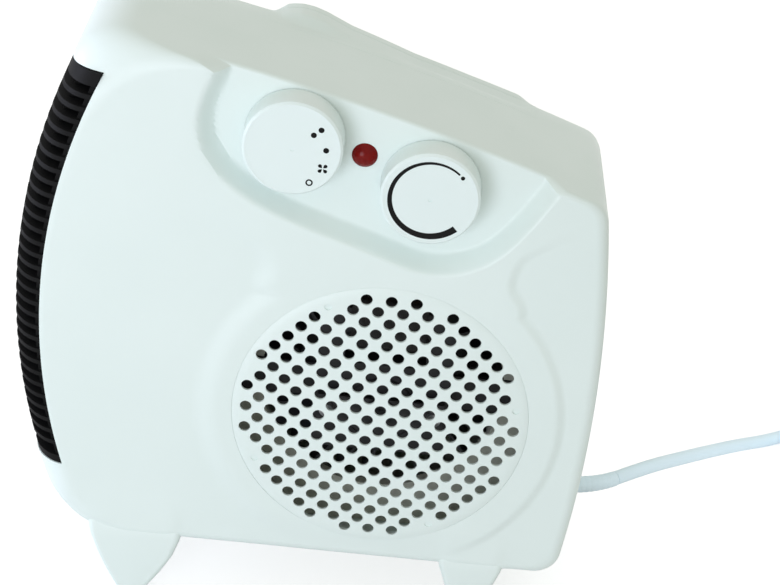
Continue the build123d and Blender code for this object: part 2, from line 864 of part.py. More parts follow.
def thermostat_bimetal():
    """The bent strip and its contact arm, stacked on the ceramic arm."""
    x, z = thermostat_x, thermostat_height
    base = switch_front + 12.0 + join_gap
    strip = block(x - 10.0, x + 20.0, base, base + 0.7, z - 3.0, z + 3.0)
    second = block(x - 14.0, x + 18.0, base + 2.7, base + 3.3, z - 2.5, z + 2.5)
    spacer = block(x + 11.0, x + 17.0, base + 0.6, base + 2.8, z - 2.5, z + 2.5)
    contact = rod(x - 8.0, z, 1.6, base + 0.6, base + 2.2)
    return strip + second + spacer + contact


def screw(x, z, head_start, length, radius, head_radius, head_height, towards):
    """A round-head screw along Y with a cross slot. towards is 1 if the tip points into the case."""
    if towards > 0:
        head = rod(x, z, head_radius, head_start, head_start + head_height)
        shank = rod(x, z, radius, head_start + head_height - 0.1, head_start + head_height + length)
        slot_at = head_start - 0.1
    else:
        head = rod(x, z, head_radius, head_start - head_height, head_start)
        shank = rod(x, z, radius, head_start - head_height - length, head_start - head_height + 0.1)
        slot_at = head_start - 0.9
    shape = head + shank
    arm = head_radius * 0.62
    thin = head_radius * 0.16
    shape = shape - block(x - arm, x + arm, slot_at, slot_at + 1.0, z - thin, z + thin)
    return shape - block(x - thin, x + thin, slot_at, slot_at + 1.0, z - arm, z + arm)


def group(shapes):
    """Several separate solids as one node."""
    return Compound(children=[s for shape in shapes for s in shape.solids()])


def control_screws(spots):
    """The two screws that hold a switch to the recess floor, hidden under its knob."""
    head = recess_depth - 1.8 - 0.05
    length = wall + join_gap + 5.0
    sizes = (length, control_screw_radius, control_screw_head, 1.8)
    return group([screw(x, z, head, *sizes, 1) for x, z in spots])


def indicator_lens():
    """Dome, collar and flange of the lamp's lens."""
    front = recess_depth - lens_dome
    sphere = (lens_radius ** 2 + lens_dome ** 2) / (2 * lens_dome)
    ball = Pos(lens_x, depth(front) + sphere, lens_height) * Sphere(sphere)
    dome = ball & rod(lens_x, lens_height, lens_radius, front - 1.0, recess_depth)
    collar = rod(lens_x, lens_height, lens_radius, recess_depth - 0.05, recess_depth + wall + 6.0)
    behind = recess_depth + wall
    flange = rod(lens_x, lens_height, lens_radius + 1.6, behind + join_gap, behind + 1.4)
    hollow = rod(lens_x, lens_height, lens_radius - 1.4, recess_depth + 0.6, recess_depth + wall + 7.0)
    return (dome + collar + flange) - hollow


def neon_lamp():
    start = recess_depth + 2.0
    glass = rod(lens_x, lens_height, 3.0, start + 2.0, start + 15.0)
    tip = Pos(lens_x, depth(start + 2.0), lens_height) * Sphere(3.0)
    return glass + (tip & rod(lens_x, lens_height, 3.0, start - 2.0, start + 2.0))


def lens_clip():
    """The push-on ring that holds the lens and centres the lamp."""
    start = recess_depth + wall + 6.0 + join_gap
    outer = rod(lens_x, lens_height, lens_radius + 1.2, start, start + 2.0)
    return outer - rod(lens_x, lens_height, 3.0 + join_gap, start - 1.0, start + 3.0)


# What holds the case together


def casing_screws():
    head = screw_depth + 0.05 + screw_head
    sizes = (screw_depth - 16.0, screw_radius, screw_head_radius, screw_head)
    return group([screw(x, z, head, *sizes, -1) for x, z in screw_spots])


def side_rest_pads():
    """Four buttons on the plain side, each with its stud through the wall."""
    pads = []
    for x, z in rest_pad_spots:
        pad = rod(x, z, rest_pad_radius, case_depth + 0.05, case_depth + rest_pad_height)
        rim = pad.edges().filter_by(GeomType.CIRCLE).sort_by(Axis.Y)[-1]
        pad = fillet([rim], 1.0)
        pads.append(pad + rod(x, z, 2.0, case_depth - wall - 2.0, case_depth + 0.2))
    return group(pads)


# Fan and motor


def fan_shroud():
    x0 = fan_x - 76.0
    x1 = fan_x + 79.0
    z0 = leg_length + wall + slip
    z1 = fan_height + 70.0
    plate = block(x0, x1, shroud_depth, shroud_depth + shroud_thickness, z0, z1)
    rim = rod(fan_x, fan_height, inlet_radius + 1.5, shroud_depth, impeller_front - 1.0)
    shape = plate + rim - rod(fan_x, fan_height, inlet_radius, 0.0, 60.0)
    edges = [e for e in shape.edges() if abs(e.tangent_at(0.5).Y) > 0.9]
    corner = [e for e in edges if min(abs(e.center().X - x0), abs(e.center().X - x1)) < 0.1]
    shape = fillet(corner, 6.0)
    for x, z in screw_spots:
        shape = shape - rod(x, z, boss_radius + 0.6, 0.0, 60.0)
    for x, z in shroud_spots:
        shape = shape - rod(x, z, plate_screw_radius + 0.3, 0.0, 60.0)
    for k in (-1, 1):
        shape = shape - rod(fan_x + k * (inlet_radius + 6.0), fan_height, 1.3, 0.0, 60.0)
    return shape


def spiral(offset):
    """Points (x, z) of the scroll, anticlockwise from the tongue to the top."""
    start = 215.0 - 360.0
    end = 90.0
    count = 12
    points = []
    for k in range(count + 1):
        angle = start + (end - start) * k / count
        radius = scroll_start_radius + scroll_growth * k / count + offset
        a = math.radians(angle)
        points.append((fan_x + radius * math.cos(a), fan_height + radius * math.sin(a)))
    return points


def scroll_outline(y, offset):
    """The scroll's closed face: spiral, straight roof to the element, and straight floor back."""
    points = [Vector(x, y, z) for x, z in spiral(offset)]
    end_x = liner_front + liner_length + 1.0
    roof = Vector(end_x, y, liner_top - 9.0 + offset)
    floor = Vector(end_x, y, liner_bottom + 3.0 - offset)
    edges = [
        Edge.make_spline(points),
        Edge.make_line(points[-1], roof),
        Edge.make_line(roof, floor),
        Edge.make_line(floor, points[0]),
    ]
    return Face(Wire(edges))


def scroll_housing():
    start = shroud_depth + shroud_thickness + join_gap
    long = scroll_back + scroll_wall - start
    outer = Solid.extrude(scroll_outline(depth(start), scroll_wall), Vector(0, long, 0))
    inner = Solid.extrude(scroll_outline(depth(start - 1.0), 0.0), Vector(0, long - scroll_wall + 1.0, 0))
    shape = outer - inner
    shape = shape - block(liner_front, liner_front + liner_length + 1.2, 0.0, 200.0, 0.0, 300.0)
    return shape - [rod(x, z, plate_screw_radius + 0.3, 70.0, 100.0) for x, z in scroll_posts]


def shroud_screws():
    head = shroud_depth + shroud_thickness + 0.05 + 1.6
    sizes = (11.0, plate_screw_radius, plate_screw_head, 1.6)
    return group([screw(x, z, head, *sizes, -1) for x, z in shroud_spots])


def scroll_screws():
    head = scroll_back - 0.05 - 1.6
    sizes = (9.0, plate_screw_radius, plate_screw_head, 1.6)
    return group([screw(x, z, head, *sizes, 1) for x, z in scroll_posts])


def fan_impeller():
    back = rod(fan_x, fan_height, impeller_radius, impeller_back - 1.5, impeller_back)
    ring = rod(fan_x, fan_height, impeller_radius, impeller_front, impeller_front + 2.0)
    ring = ring - rod(fan_x, fan_height, impeller_radius - 2.4, 0.0, 100.0)
    hub = cone(fan_x, fan_height, 7.0, 14.0, impeller_back - 22.0, impeller_back)
    shape = back + hub + ring
    start = impeller_front + 0.5
    span = impeller_radius - 0.6 - impeller_inner
    long = impeller_back - start - 0.5
    blade = Box(span, long, blade_thickness, align=(Align.MIN, Align.MIN, Align.CENTER))
    for k in range(blade_count):
        place = Pos(fan_x, depth(start), fan_height) * Rot(0, 360.0 * k / blade_count, 0)
        shape = shape + place * Pos(impeller_inner, 0, 0) * Rot(0, 14, 0) * blade
    shape = shape & rod(fan_x, fan_height, impeller_radius, 0.0, 100.0)
    return shape - rod(fan_x, fan_height, fan_shaft_radius + 0.02, 0.0, 120.0)


shaft_front = 1.0
shaft_back = impeller_back + 3.0
core_back = core_front + core_stack


def motor_core():
    x, z = fan_x, fan_height
    half = core_half_width
    shape = block(x - half, x + half, core_front, core_back, z - core_below, z + core_above)
    shape = shape - rod(x, z, rotor_radius + rotor_gap, 0.0, 60.0)
    shape = shape - block(x - 17.0, x + 17.0, 0.0, 60.0, z + 20.0, z + core_above - 11.0)
    for k in (-1, 1):
        shape = shape - rod(x + k * motor_screw_spread, z, motor_screw_radius + 0.2, 0.0, 60.0)
        edge = x + k * half
        shape = shape - block(edge - 4.0, edge + 4.0, 0.0, 60.0, z + core_above - 4.0, z + core_above + 4.0)
    return shape


def motor_coil():
    """Bobbin and winding round the upper limb of the core."""
    x = fan_x
    z0 = fan_height + core_above - 11.0
    z1 = fan_height + core_above
    half = coil_half_width
    low = z0 - coil_build
    high = z1 + coil_build
    start = core_front - coil_build + 1.6
    end = core_back
    body = block(x - half, x + half, start, end, low, high)
    body = fillet(body.edges().filter_by(Axis.X), 3.0)
    for s in (-1, 1):
        middle = x + s * (half - 0.6)
        body = body + block(middle - 0.6, middle + 0.6, start - 0.6, end + 0.6, low - 0.6, high + 0.6)
    near = core_front - join_gap
    far = core_back + join_gap
    return body - block(x - 40.0, x + 40.0, near, far, z0 - join_gap, z1 + join_gap)


def bearing_strap(start, cup_start, cup_end, foot_start, foot_end):
    """A stamped bearing bracket: strip, two feet on the core and a cup round the bearing."""
    x, z = fan_x, fan_height
    half = motor_screw_spread + 4.0
    shape = block(x - half, x + half, start, start + 1.2, z - 6.5, z + 6.5)
    for k in (-1, 1):
        px = x + k * motor_screw_spread
        shape = shape + block(px - 4.0, px + 4.0, foot_start, foot_end, z - 6.5, z + 6.5)
    shape = shape + rod(x, z, bearing_radius + 1.6, cup_start, cup_end)
    shape = shape - rod(x, z, bearing_radius + 0.03, 0.0, 80.0)
    for k in (-1, 1):
        shape = shape - rod(x + k * motor_screw_spread, z, motor_screw_radius + 0.2, 0.0, 80.0)
    return shape


front_strap = core_front - 5.5
rear_strap = core_back + join_gap


def motor_front_bracket():
    cup_end = front_strap + bearing_length - 1.0
    return bearing_strap(front_strap, front_strap - 1.0, cup_end, front_strap, core_front - join_gap)


def motor_rear_bracket():
    cup_end = rear_strap + bearing_length
    return bearing_strap(rear_strap, rear_strap, cup_end, rear_strap, rear_strap + 1.2)


def motor_bearings():
    shapes = []
    for start in (front_strap - 0.9, rear_strap + 0.1):
        ring = rod(fan_x, fan_height, bearing_radius, start, start + bearing_length - 0.2)
        shapes.append(ring - rod(fan_x, fan_height, fan_shaft_radius + shaft_clearance, 0.0, 80.0))
    return group(shapes)


def motor_mount():
    """The steel strap across the inlet that carries the motor."""
    x, z = fan_x, fan_height
    reach = inlet_radius + 11.0
    start = rear_strap + 1.2 + join_gap
    half = strap_width / 2
    shape = block(x - reach, x + reach, start, start + strap_thickness, z - half, z + half)
    shape = shape - rod(x, z, bearing_radius + 2.4, 0.0, 80.0)
    for k in (-1, 1):
        shape = shape - rod(x + k * motor_screw_spread, z, motor_screw_radius + 0.1, 0.0, 80.0)
        shape = shape - rod(x + k * (inlet_radius + 6.0), z, 1.6, 0.0, 80.0)
    return shape


def motor_screws():
    """Two long screws through brackets, core and mount, and two short ones at the strap's ends."""
    shapes = []
    start = front_strap - screw_head
    for k in (-1, 1):
        x = fan_x + k * motor_screw_spread
        length = rear_strap + 1.2 + join_gap + strap_thickness + 3.0 - front_strap
        shapes.append(screw(x, fan_height, start, length, motor_screw_radius, 3.0, screw_head, 1))
        nut = rod(x, fan_height, 3.0, front_strap + length - 2.6, front_strap + length - 0.4)
        shapes[-1] = shapes[-1] + nut
    for k in (-1, 1):
        x = fan_x + k * (inlet_radius + 6.0)
        head_end = rear_strap + 1.2 + join_gap - 0.05
        shapes.append(screw(x, fan_height, head_end - 1.8, 5.0, 1.25, 2.6, 1.8, 1))
    return group(shapes)


def motor_rotor():
    """Stacked rotor with a cast end ring."""
    ring = rod(fan_x, fan_height, rotor_radius, core_front, core_back - 0.6)
    ring = ring + rod(fan_x, fan_height, rotor_radius - 2.5, core_front - 0.9, core_front + 0.2)
    return ring - rod(fan_x, fan_height, fan_shaft_radius + 0.02, 0.0, 80.0)


def fan_shaft():
    return rod(fan_x, fan_height, fan_shaft_radius, shaft_front, shaft_back)


def impeller_clip():
    ring = rod(fan_x, fan_height, 5.5, impeller_back + 0.2, impeller_back + 1.6)
    return ring - rod(fan_x, fan_height, fan_shaft_radius + 0.02, 0.0, 120.0)


# Heating element


def heat_shield():
    """Sheet-steel liner: a rectangular tube open towards fan and grille."""
    x1 = liner_front + liner_length
    outer = block(liner_front, x1, liner_near, liner_far, liner_bottom, liner_top)
    s = liner_sheet
    near = liner_near + s
    far = liner_far - s
    return outer - block(liner_front - 1.0, x1 + 1.0, near, far, liner_bottom + s, liner_top - s)


def element_frame():
    """Mica boards in an egg-crate: two sides, top, bottom and three shelves."""
    g = liner_sheet + join_gap
    x0 = liner_front + 3.0
    x1 = liner_front + liner_length - 3.0
    y0 = liner_near + g
    y1 = liner_far - g
    z0 = liner_bottom + g
    z1 = liner_top - g
    inside = block(x0 - 1.0, x1 + 1.0, y0 + mica, y1 - mica, z0 + mica, z1 - mica)
    shape = block(x0, x1, y0, y1, z0, z1) - inside
    for k in (1, 2, 3):
        z = z0 + (z1 - z0) * k / 4
        shape = shape + block(x0, x1, y0 + 0.2, y1 - 0.2, z - mica / 2, z + mica / 2)
    return shape


def ribbon_spots():
    """The depth of each heating ribbon."""
    first = liner_near + 9.0
    span = liner_far - liner_near - 18.0
    return [first + span * k / (ribbon_count - 1) for k in range(ribbon_count)]


def heating_ribbons():
    """Corrugated strips from shelf to shelf, in two rows along X."""
    g = liner_sheet + join_gap + mica
    z0 = liner_bottom + g
    z1 = liner_top - g
    shapes = []
    x0 = liner_front + liner_length / 2 - ribbon_width / 2
    bay = (liner_top - liner_bottom - 2 * (liner_sheet + join_gap)) / 4
    floor = liner_bottom + liner_sheet + join_gap
    board = mica / 2 + join_gap
    for y in ribbon_spots():
        for k in range(4):
            low = max(floor + bay * k + board, z0 + join_gap)
            high = min(floor + bay * (k + 1) - board, z1 - join_gap)
            count = max(2, int((high - low) / (ribbon_pitch / 2)))
            step = (high - low) / count
            front = [(y + ribbon_wave / 2 * (-1) ** (n + 1), low + step * n) for n in range(count + 1)]
            back = [(d + ribbon_strip, z) for d, z in reversed(front)]
            points = [Vector(x0, depth(d), z) for d, z in front + back]
            face = Face(Wire.make_polygon(points, close=True))
            shapes.append(Solid.extrude(face, Vector(ribbon_width, 0, 0)))
    return group(shapes)


terminal_x = liner_front + liner_length / 2
terminal_depths = (30.0, 53.0, 76.0)


def element_terminals():
    """Three brass tags through the liner's roof, with their riveted feet on the frame."""
    shapes = []
    x = terminal_x
    low = liner_top + join_gap
    for d in terminal_depths:
        tag = block(x - 3.2, x + 3.2, d - 0.4, d + 0.4, low, liner_top + 10.0)
        foot = block(x - 4.0, x + 4.0, d - 4.0, d + 0.4, low, liner_top + 1.0)
        shapes.append(tag + foot)
    return group(shapes)


def thermal_cutout():
    """Bimetal cut-out disc in its clip on the liner's roof, behind the terminals."""
    x = terminal_x + 8.0
    z = liner_top + join_gap
    base = block(x - 4.0, x + 4.0, 59.0, 71.0, z, z + 1.0)
    can = Pos(x, depth(65.0), z + 1.0) * Cylinder(3.8, 7.0, align=(Align.CENTER, Align.CENTER, Align.MIN))
    return base + can


def thermal_fuse():
    """Axial fuse in a fabric sleeve, strapped to the liner's roof."""
    x = terminal_x + 8.0
    z = liner_top + join_gap + 2.0
    return Pos(x, depth(43.0), z) * Rot(90, 0, 0) * Cylinder(2.0, 12.0)


# Flex, clamp, terminal block and leads


relief_radius = relief_length / math.radians(relief_bend)


def relief_place(share):
    """Centre and direction on the strain relief's bent axis; share runs from 0 at the wall to 1."""
    angle = math.radians(relief_bend) * share
    x = rear_x - 2.0 + relief_radius * math.sin(angle)
    y = depth(cord_exit_depth) + relief_radius * (1 - math.cos(angle))
    return Vector(x, y, cord_exit_height), Vector(math.cos(angle), math.sin(angle), 0)


def ring_face(centre, direction, radius):
    """A circle's wire square to a direction."""
    plane = Plane(origin=centre, x_dir=Vector(0, 0, 1), z_dir=direction)
    return Wire(Edge.make_circle(radius, plane))


def cord_bushing():
    """Strain relief: flange and neck in the rear wall, then a tapered tail that bends with the flex."""
    start = Vector(rear_x - 14.0, depth(cord_exit_depth), cord_exit_height)
    upright = (Align.CENTER, Align.CENTER, Align.MIN)
    neck = Pos(*start) * Rot(0, 90, 0) * Cylinder(relief_root, 12.0, align=upright)
    flange = Pos(bushing_seat - 0.15, start.Y, start.Z) * Rot(0, 90, 0) * Cylinder(
        relief_flange, 1.6, align=(Align.CENTER, Align.CENTER, Align.MAX)
    )
    wires = []
    stations = 6
    for k in range(stations + 1):
        share = k / stations
        centre, direction = relief_place(share)
        radius = relief_root + (relief_tip - relief_root) * share
        wires.append(ring_face(centre, direction, radius))
    tail = Solid.make_loft(wires, True)
    return neck + flange + tail


cord_route = (
    (180.0, 51.0, 32.0),
    (199.4, 78.9, 20.0),
    (219.3, 105.0, 9.0),
    (237.6, 121.1, 3.4),
)


def coil_point(angle):
    """A point of the coil's centreline, by the angle turned since it starts."""
    inwards = 360.0 * coil_turns_in
    climb = 180.0
    low = cord_radius + 0.05
    if angle <= inwards:
        radius = coil_outer - coil_pitch * angle / 360.0
        z = low
    elif angle <= inwards + climb:
        radius = coil_outer - coil_pitch * coil_turns_in
        share = (angle - inwards) / climb
        radius -= coil_pitch / (2 * math.pi) * math.sin(math.pi * share)
        z = low + coil_pitch * (share - math.sin(2 * math.pi * share) / (2 * math.pi))
    else:
        radius = coil_outer - coil_pitch * coil_turns_in + coil_pitch * (angle - inwards - climb) / 360.0
        z = low + coil_pitch
    turn = math.radians(coil_start_angle - angle)
    return Vector(coil_x + radius * math.cos(turn), coil_y + radius * math.sin(turn), z)


def coil_tangent(angle):
    """The direction of the coil's centreline."""
    step = 0.05
    total = 360.0 * (coil_turns_in + coil_turns_out) + 180.0
    a = coil_point(max(0.0, angle - step))
    b = coil_point(min(total, angle + step))
    return (b - a).normalized()


def biarc(p0, t0, p1, t1):
    """Two arcs that join two points and leave along the given directions."""
    v = p1 - p0
    t = t0 + t1
    a = 2 * (1 - t0.dot(t1))
    b = 2 * v.dot(t)
    c = -v.dot(v)
    d = -c / b if abs(a) < 1e-9 else (-b + math.sqrt(b * b - 4 * a * c)) / (2 * a)
    joint = (p0 + p1 + (t0 - t1) * d) * 0.5
    return [tangent_arc(p0, t0, joint), tangent_arc(joint, (p1 - t1 * d - joint).normalized(), p1)]


def tangent_arc(start, direction, end):
    """An arc that leaves start along a direction and ends at end, or a line if it is straight."""
    chord = end - start
    if chord.cross(direction).length < 1e-6 * chord.length:
        return Edge.make_line(start, end)
    return Edge.make_tangent_arc(start, direction, end)


def route_points():
    """The free flex from the strain relief's tip to the coil, with a straight lead at each end."""
    tip, direction = relief_place(1.0)
    start = coil_point(0.0)
    arrive = coil_tangent(0.0)
    return [tip, tip + direction * 20.0] + [Vector(*p) for p in cord_route] + [start - arrive * 19.0, start]


def route_radii(points):
    """The largest bend that each corner's runs leave room for."""
    radii = []
    for a, b, c in zip(points, points[1:], points[2:]):
        turn = math.radians((b - a).get_angle(c - b))
        radii.append(0.45 * min((b - a).length, (c - b).length) / math.tan(turn / 2))
    return radii


def print_length(name, path, tube):
    """Prints a tube's length, and its volume beside its section times that length."""
    filled = math.pi * cord_radius ** 2 * path.length
    print(name, "length", round(path.length, 1), "volume ratio", round(tube.volume / filled, 4))


def power_cord():
    points = route_points()
    radii = route_radii(points)
    print("flex bend radii", [round(r, 1) for r in radii])
    path = FilletPolyline(*points, radius=radii)
    tip, direction = relief_place(1.0)
    wire = ring_face(tip, direction, cord_radius)
    tube = sweep(Face(wire), path=path)
    print_length("flex", path, tube)
    return tube


def coil_path():
    """The coil and its straight tail to the plug, as biarcs of a quarter turn."""
    total = 360.0 * (coil_turns_in + coil_turns_out) + 180.0
    quarters = int(round(total / 90.0))
    edges = []
    for k in range(quarters):
        a, b = 90.0 * k, 90.0 * (k + 1)
        edges += biarc(coil_point(a), coil_tangent(a), coil_point(b), coil_tangent(b))
    return edges


def plug_place():
    """Where the flex enters the plug, and the plug's direction."""
    total = 360.0 * (coil_turns_in + coil_turns_out) + 180.0
    end = coil_point(total)
    along = coil_tangent(total)
    flat = Vector(along.X, along.Y, 0).normalized()
    place = end + flat * tail_length
    return Vector(place.X, place.Y, plug_height / 2 + 0.05), flat


def cord_coil():
    total = 360.0 * (coil_turns_in + coil_turns_out) + 180.0
    edges = coil_path()
    end = coil_point(total)
    along = coil_tangent(total)
    place, flat = plug_place()
    edges += biarc(end, along, place, flat)
    path = Wire(edges)
    tube = sweep(Face(ring_face(coil_point(0.0), coil_tangent(0.0), cord_radius)), path=path)
    print_coil_gap(total)
    print_length("coil", path, tube)
    return tube


def print_coil_gap(total):
    """Measures the least gap between turns on points of the centreline."""
    step = 4.0
    count = int(total / step)
    points = [coil_point(step * k) for k in range(count + 1)]
    least = min(
        (points[i] - points[j]).length
        for i in range(len(points))
        for j in range(i + 45, len(points))
    )
    print("coil self gap", round(least - cord_diameter, 2))


def plug_frame():
    """A place on the plug: X along it towards the pins, Y across, Z up."""
    place, flat = plug_place()
    return Location(Plane(origin=place, x_dir=flat, z_dir=Vector(0, 0, 1)))


def plug_body():
    """Moulded two-pin plug: ribbed grip that widens to a flat-sided head."""
    frame = plug_frame()
    middle = (Align.MIN, Align.CENTER, Align.CENTER)
    head = Box(plug_length - plug_grip, plug_width, plug_height, align=middle)
    head = fillet(head.edges().filter_by(Axis.X), plug_height / 2 - 3.0)
    head = Pos(plug_grip, 0, 0) * head
    along = Vector(1, 0, 0)
    small = ring_face(Vector(0, 0, 0), along, cord_radius + 1.8)
    large = ring_face(Vector(plug_grip, 0, 0), along, plug_height / 2 - 2.5)
    grip = Solid.make_loft([small, large], True)
    shape = head + grip
    for k in (-1, 1):
        hole = Pos(plug_length, k * pin_spacing / 2, 0) * Rot(0, 90, 0) * Cylinder(pin_radius + 0.02, 16.0)
        shape = shape - hole
    return frame * shape


def plug_pins():
    frame = plug_frame()
    pins = []
    for k in (-1, 1):
        bar = Cylinder(pin_radius, pin_length + 7.5, align=(Align.CENTER, Align.CENTER, Align.MIN))
        bar = fillet(bar.edges().filter_by(GeomType.CIRCLE).sort_by(Axis.Z)[-1:], 1.6)
        pins.append(frame * (Pos(plug_length - 7.5, k * pin_spacing / 2, 0) * Rot(0, 90, 0) * bar))
    return group(pins)


def inner_cord():
    """The sheathed flex inside the case, from the bushing through the clamp."""
    start = rear_x - 14.0 - 0.05
    length = start - inner_cord_end
    return Pos(inner_cord_end, depth(cord_exit_depth), cord_exit_height) * Rot(0, 90, 0) * Cylinder(
        cord_radius, length, align=(Align.CENTER, Align.CENTER, Align.MIN)
    )


def cord_clamp():
    """The saddle that presses the flex on its seat."""
    low = cord_exit_height - 1.2
    top = cord_exit_height + cord_radius + 2.4
    y = cord_exit_depth
    shape = block(clamp_x - 4.6, clamp_x + 0.4, y - 10.5, y + 10.5, low, top)
    half = cord_radius + 0.1
    groove = Pos(clamp_x, depth(y), cord_exit_height) * Rot(0, 90, 0) * Cylinder(half, 40.0)
    notch = block(clamp_x - 6.0, clamp_x + 4.0, y - half, y + half, low - 1.0, cord_exit_height)
    shape = shape - groove - notch
    for k in (-1, 1):
        shape = shape - Pos(clamp_x - 2.1, depth(y + 7.5 * k), low) * Cylinder(1.5, 40.0)
    return shape


def cord_clamp_screws():
    shapes = []
    top = cord_exit_height + cord_radius + 2.4 + 0.05
    upright = (Align.CENTER, Align.CENTER, Align.MIN)
    for k in (-1, 1):
        spot = (clamp_x - 2.1, depth(cord_exit_depth + 7.5 * k))
        head = Pos(spot[0], spot[1], top) * Cylinder(2.6, 1.8, align=upright)
        shank = Pos(spot[0], spot[1], top - 11.0) * Cylinder(1.2, 11.1, align=upright)
        slot = Pos(spot[0], spot[1], top + 1.8) * Box(3.6, 0.7, 1.2)
        shapes.append(head + shank - slot)
    return group(shapes)


block_pits = (70.5, 79.0, 87.5)


def terminal_block():
    """Three-way block on the case bottom beside the clamp."""
    low = leg_length + wall + join_gap
    shape = block(block_x - 7.0, block_x + 7.0, 66.0, 92.0, low, low + 12.0)
    for d in block_pits:
        shape = shape - block(block_x - 2.5, block_x + 2.5, d - 2.5, d + 2.5, low + 8.0, low + 13.0)
    return shape


def lead(points, radius):
    """One insulated wire: straight runs joined by arcs."""
    places = [Vector(x, depth(d), z) for x, d, z in points]
    radii = [min(r, 12.0) for r in route_radii(places)]
    path = FilletPolyline(*places, radius=radii)
    first = (places[1] - places[0]).normalized()
    side = Vector(0, 0, 1) if abs(first.Z) < 0.9 else Vector(1, 0, 0)
    plane = Plane(origin=places[0], x_dir=side.cross(first), z_dir=first)
    return sweep(Face(Wire(Edge.make_circle(radius, plane))), path=path)


tab_z = selector_height - 7.6
tab_back = switch_back + 6.0 + join_gap
tag_x = terminal_x + 3.2 + join_gap
tag_z = liner_top + 6.0
pit_z = leg_length + wall + join_gap + 8.0 + join_gap
rear_run = 113.0

LEADS = (
    # terminal block to the thermostat's arm, up the rear wall
    (
        (block_x, block_pits[0], pit_z), (block_x, block_pits[0], 56.0), (rear_run, 68.0, 84.0),
        (rear_run, 60.0, 176.0), (100.0, 40.0, 198.0), (82.0, 20.0, thermostat_height),
        (thermostat_x + 20.0 + join_gap, 20.0, thermostat_height),
    ),
    # terminal block to the element's rear tag, behind the scroll
    (
        (block_x, block_pits[2], pit_z), (block_x, block_pits[2], 54.0), (60.0, 92.0, 53.0),
        (0.0, 92.0, 58.0), (-38.0, 91.0, 90.0), (-50.0, 90.0, 150.0), (-48.0, 86.0, 205.0),
        (-56.0, terminal_depths[2], tag_z), (tag_x, terminal_depths[2], tag_z),
    ),
    # selector switch to the element's other tags
    (
        (selector_x - 7.0, tab_back, tab_z), (selector_x - 7.0, tab_back + 9.0, tab_z), (-40.0, 36.0, tag_z),
        (-58.0, terminal_depths[0], tag_z), (tag_x, terminal_depths[0], tag_z),
    ),
    (
        (selector_x + 7.0, tab_back, tab_z), (selector_x + 7.0, tab_back + 13.0, tab_z),
        (-30.0, 52.0, tag_z), (-56.0, terminal_depths[1], tag_z), (tag_x, terminal_depths[1], tag_z),
    ),
    # thermostat to the selector switch
    (
        (thermostat_x - 14.0 - join_gap, switch_front + 15.0, thermostat_height),
        (20.0, switch_front + 15.0, thermostat_height), (4.0, 44.0, 214.0),
        (selector_x, tab_back + 18.0, tab_z), (selector_x, tab_back, tab_z),
    ),
    # motor winding to the switch and to the thermostat
    (
        (fan_x - 6.0, 14.0, fan_height + core_above + coil_build + 0.8), (fan_x - 6.0, 14.0, 176.0),
        (selector_x + 4.0, 20.0, 196.0), (selector_x + 4.0, 20.0, selector_height - 13.0 - join_gap),
    ),
    (
        (fan_x + 6.0, 14.0, fan_height + core_above + coil_build + 0.8), (fan_x + 6.0, 14.0, 178.0),
        (thermostat_x, 16.0, 190.0), (thermostat_x, 16.0, thermostat_height - 9.0 - join_gap),
    ),
)
CORES = (
    # the two cores of the flex into the terminal block
    ((inner_cord_end - 0.2, 57.2, 41.0), (88.6, 57.2, 41.0), (88.6, 65.8, 41.0)),
    ((inner_cord_end - 0.2, 59.8, 41.0), (92.3, 59.8, 41.0), (92.3, 65.8, 41.0)),
)
LAMP_LEADS = (
    (
        (lens_x - 1.4, 25.2, lens_height), (lens_x - 1.4, 31.0, lens_height),
        (8.5, 27.0, 223.0), (2.5, 21.0, 224.0),
    ),
    (
        (lens_x + 1.4, 25.2, lens_height), (lens_x + 1.4, 31.0, lens_height),
        (27.0, 22.0, 214.0), (38.0, 16.0, 212.0),
    ),
)
lead_radius = 1.3
core_radius = 1.1
thin_lead_radius = 0.6


def internal_leads():
    """All wires inside the case."""
    wires = [lead(points, lead_radius) for points in LEADS]
    wires += [lead(points, core_radius) for points in CORES]
    wires += [lead(points, thin_lead_radius) for points in LAMP_LEADS]
    return group(wires)


# Every piece and its node name


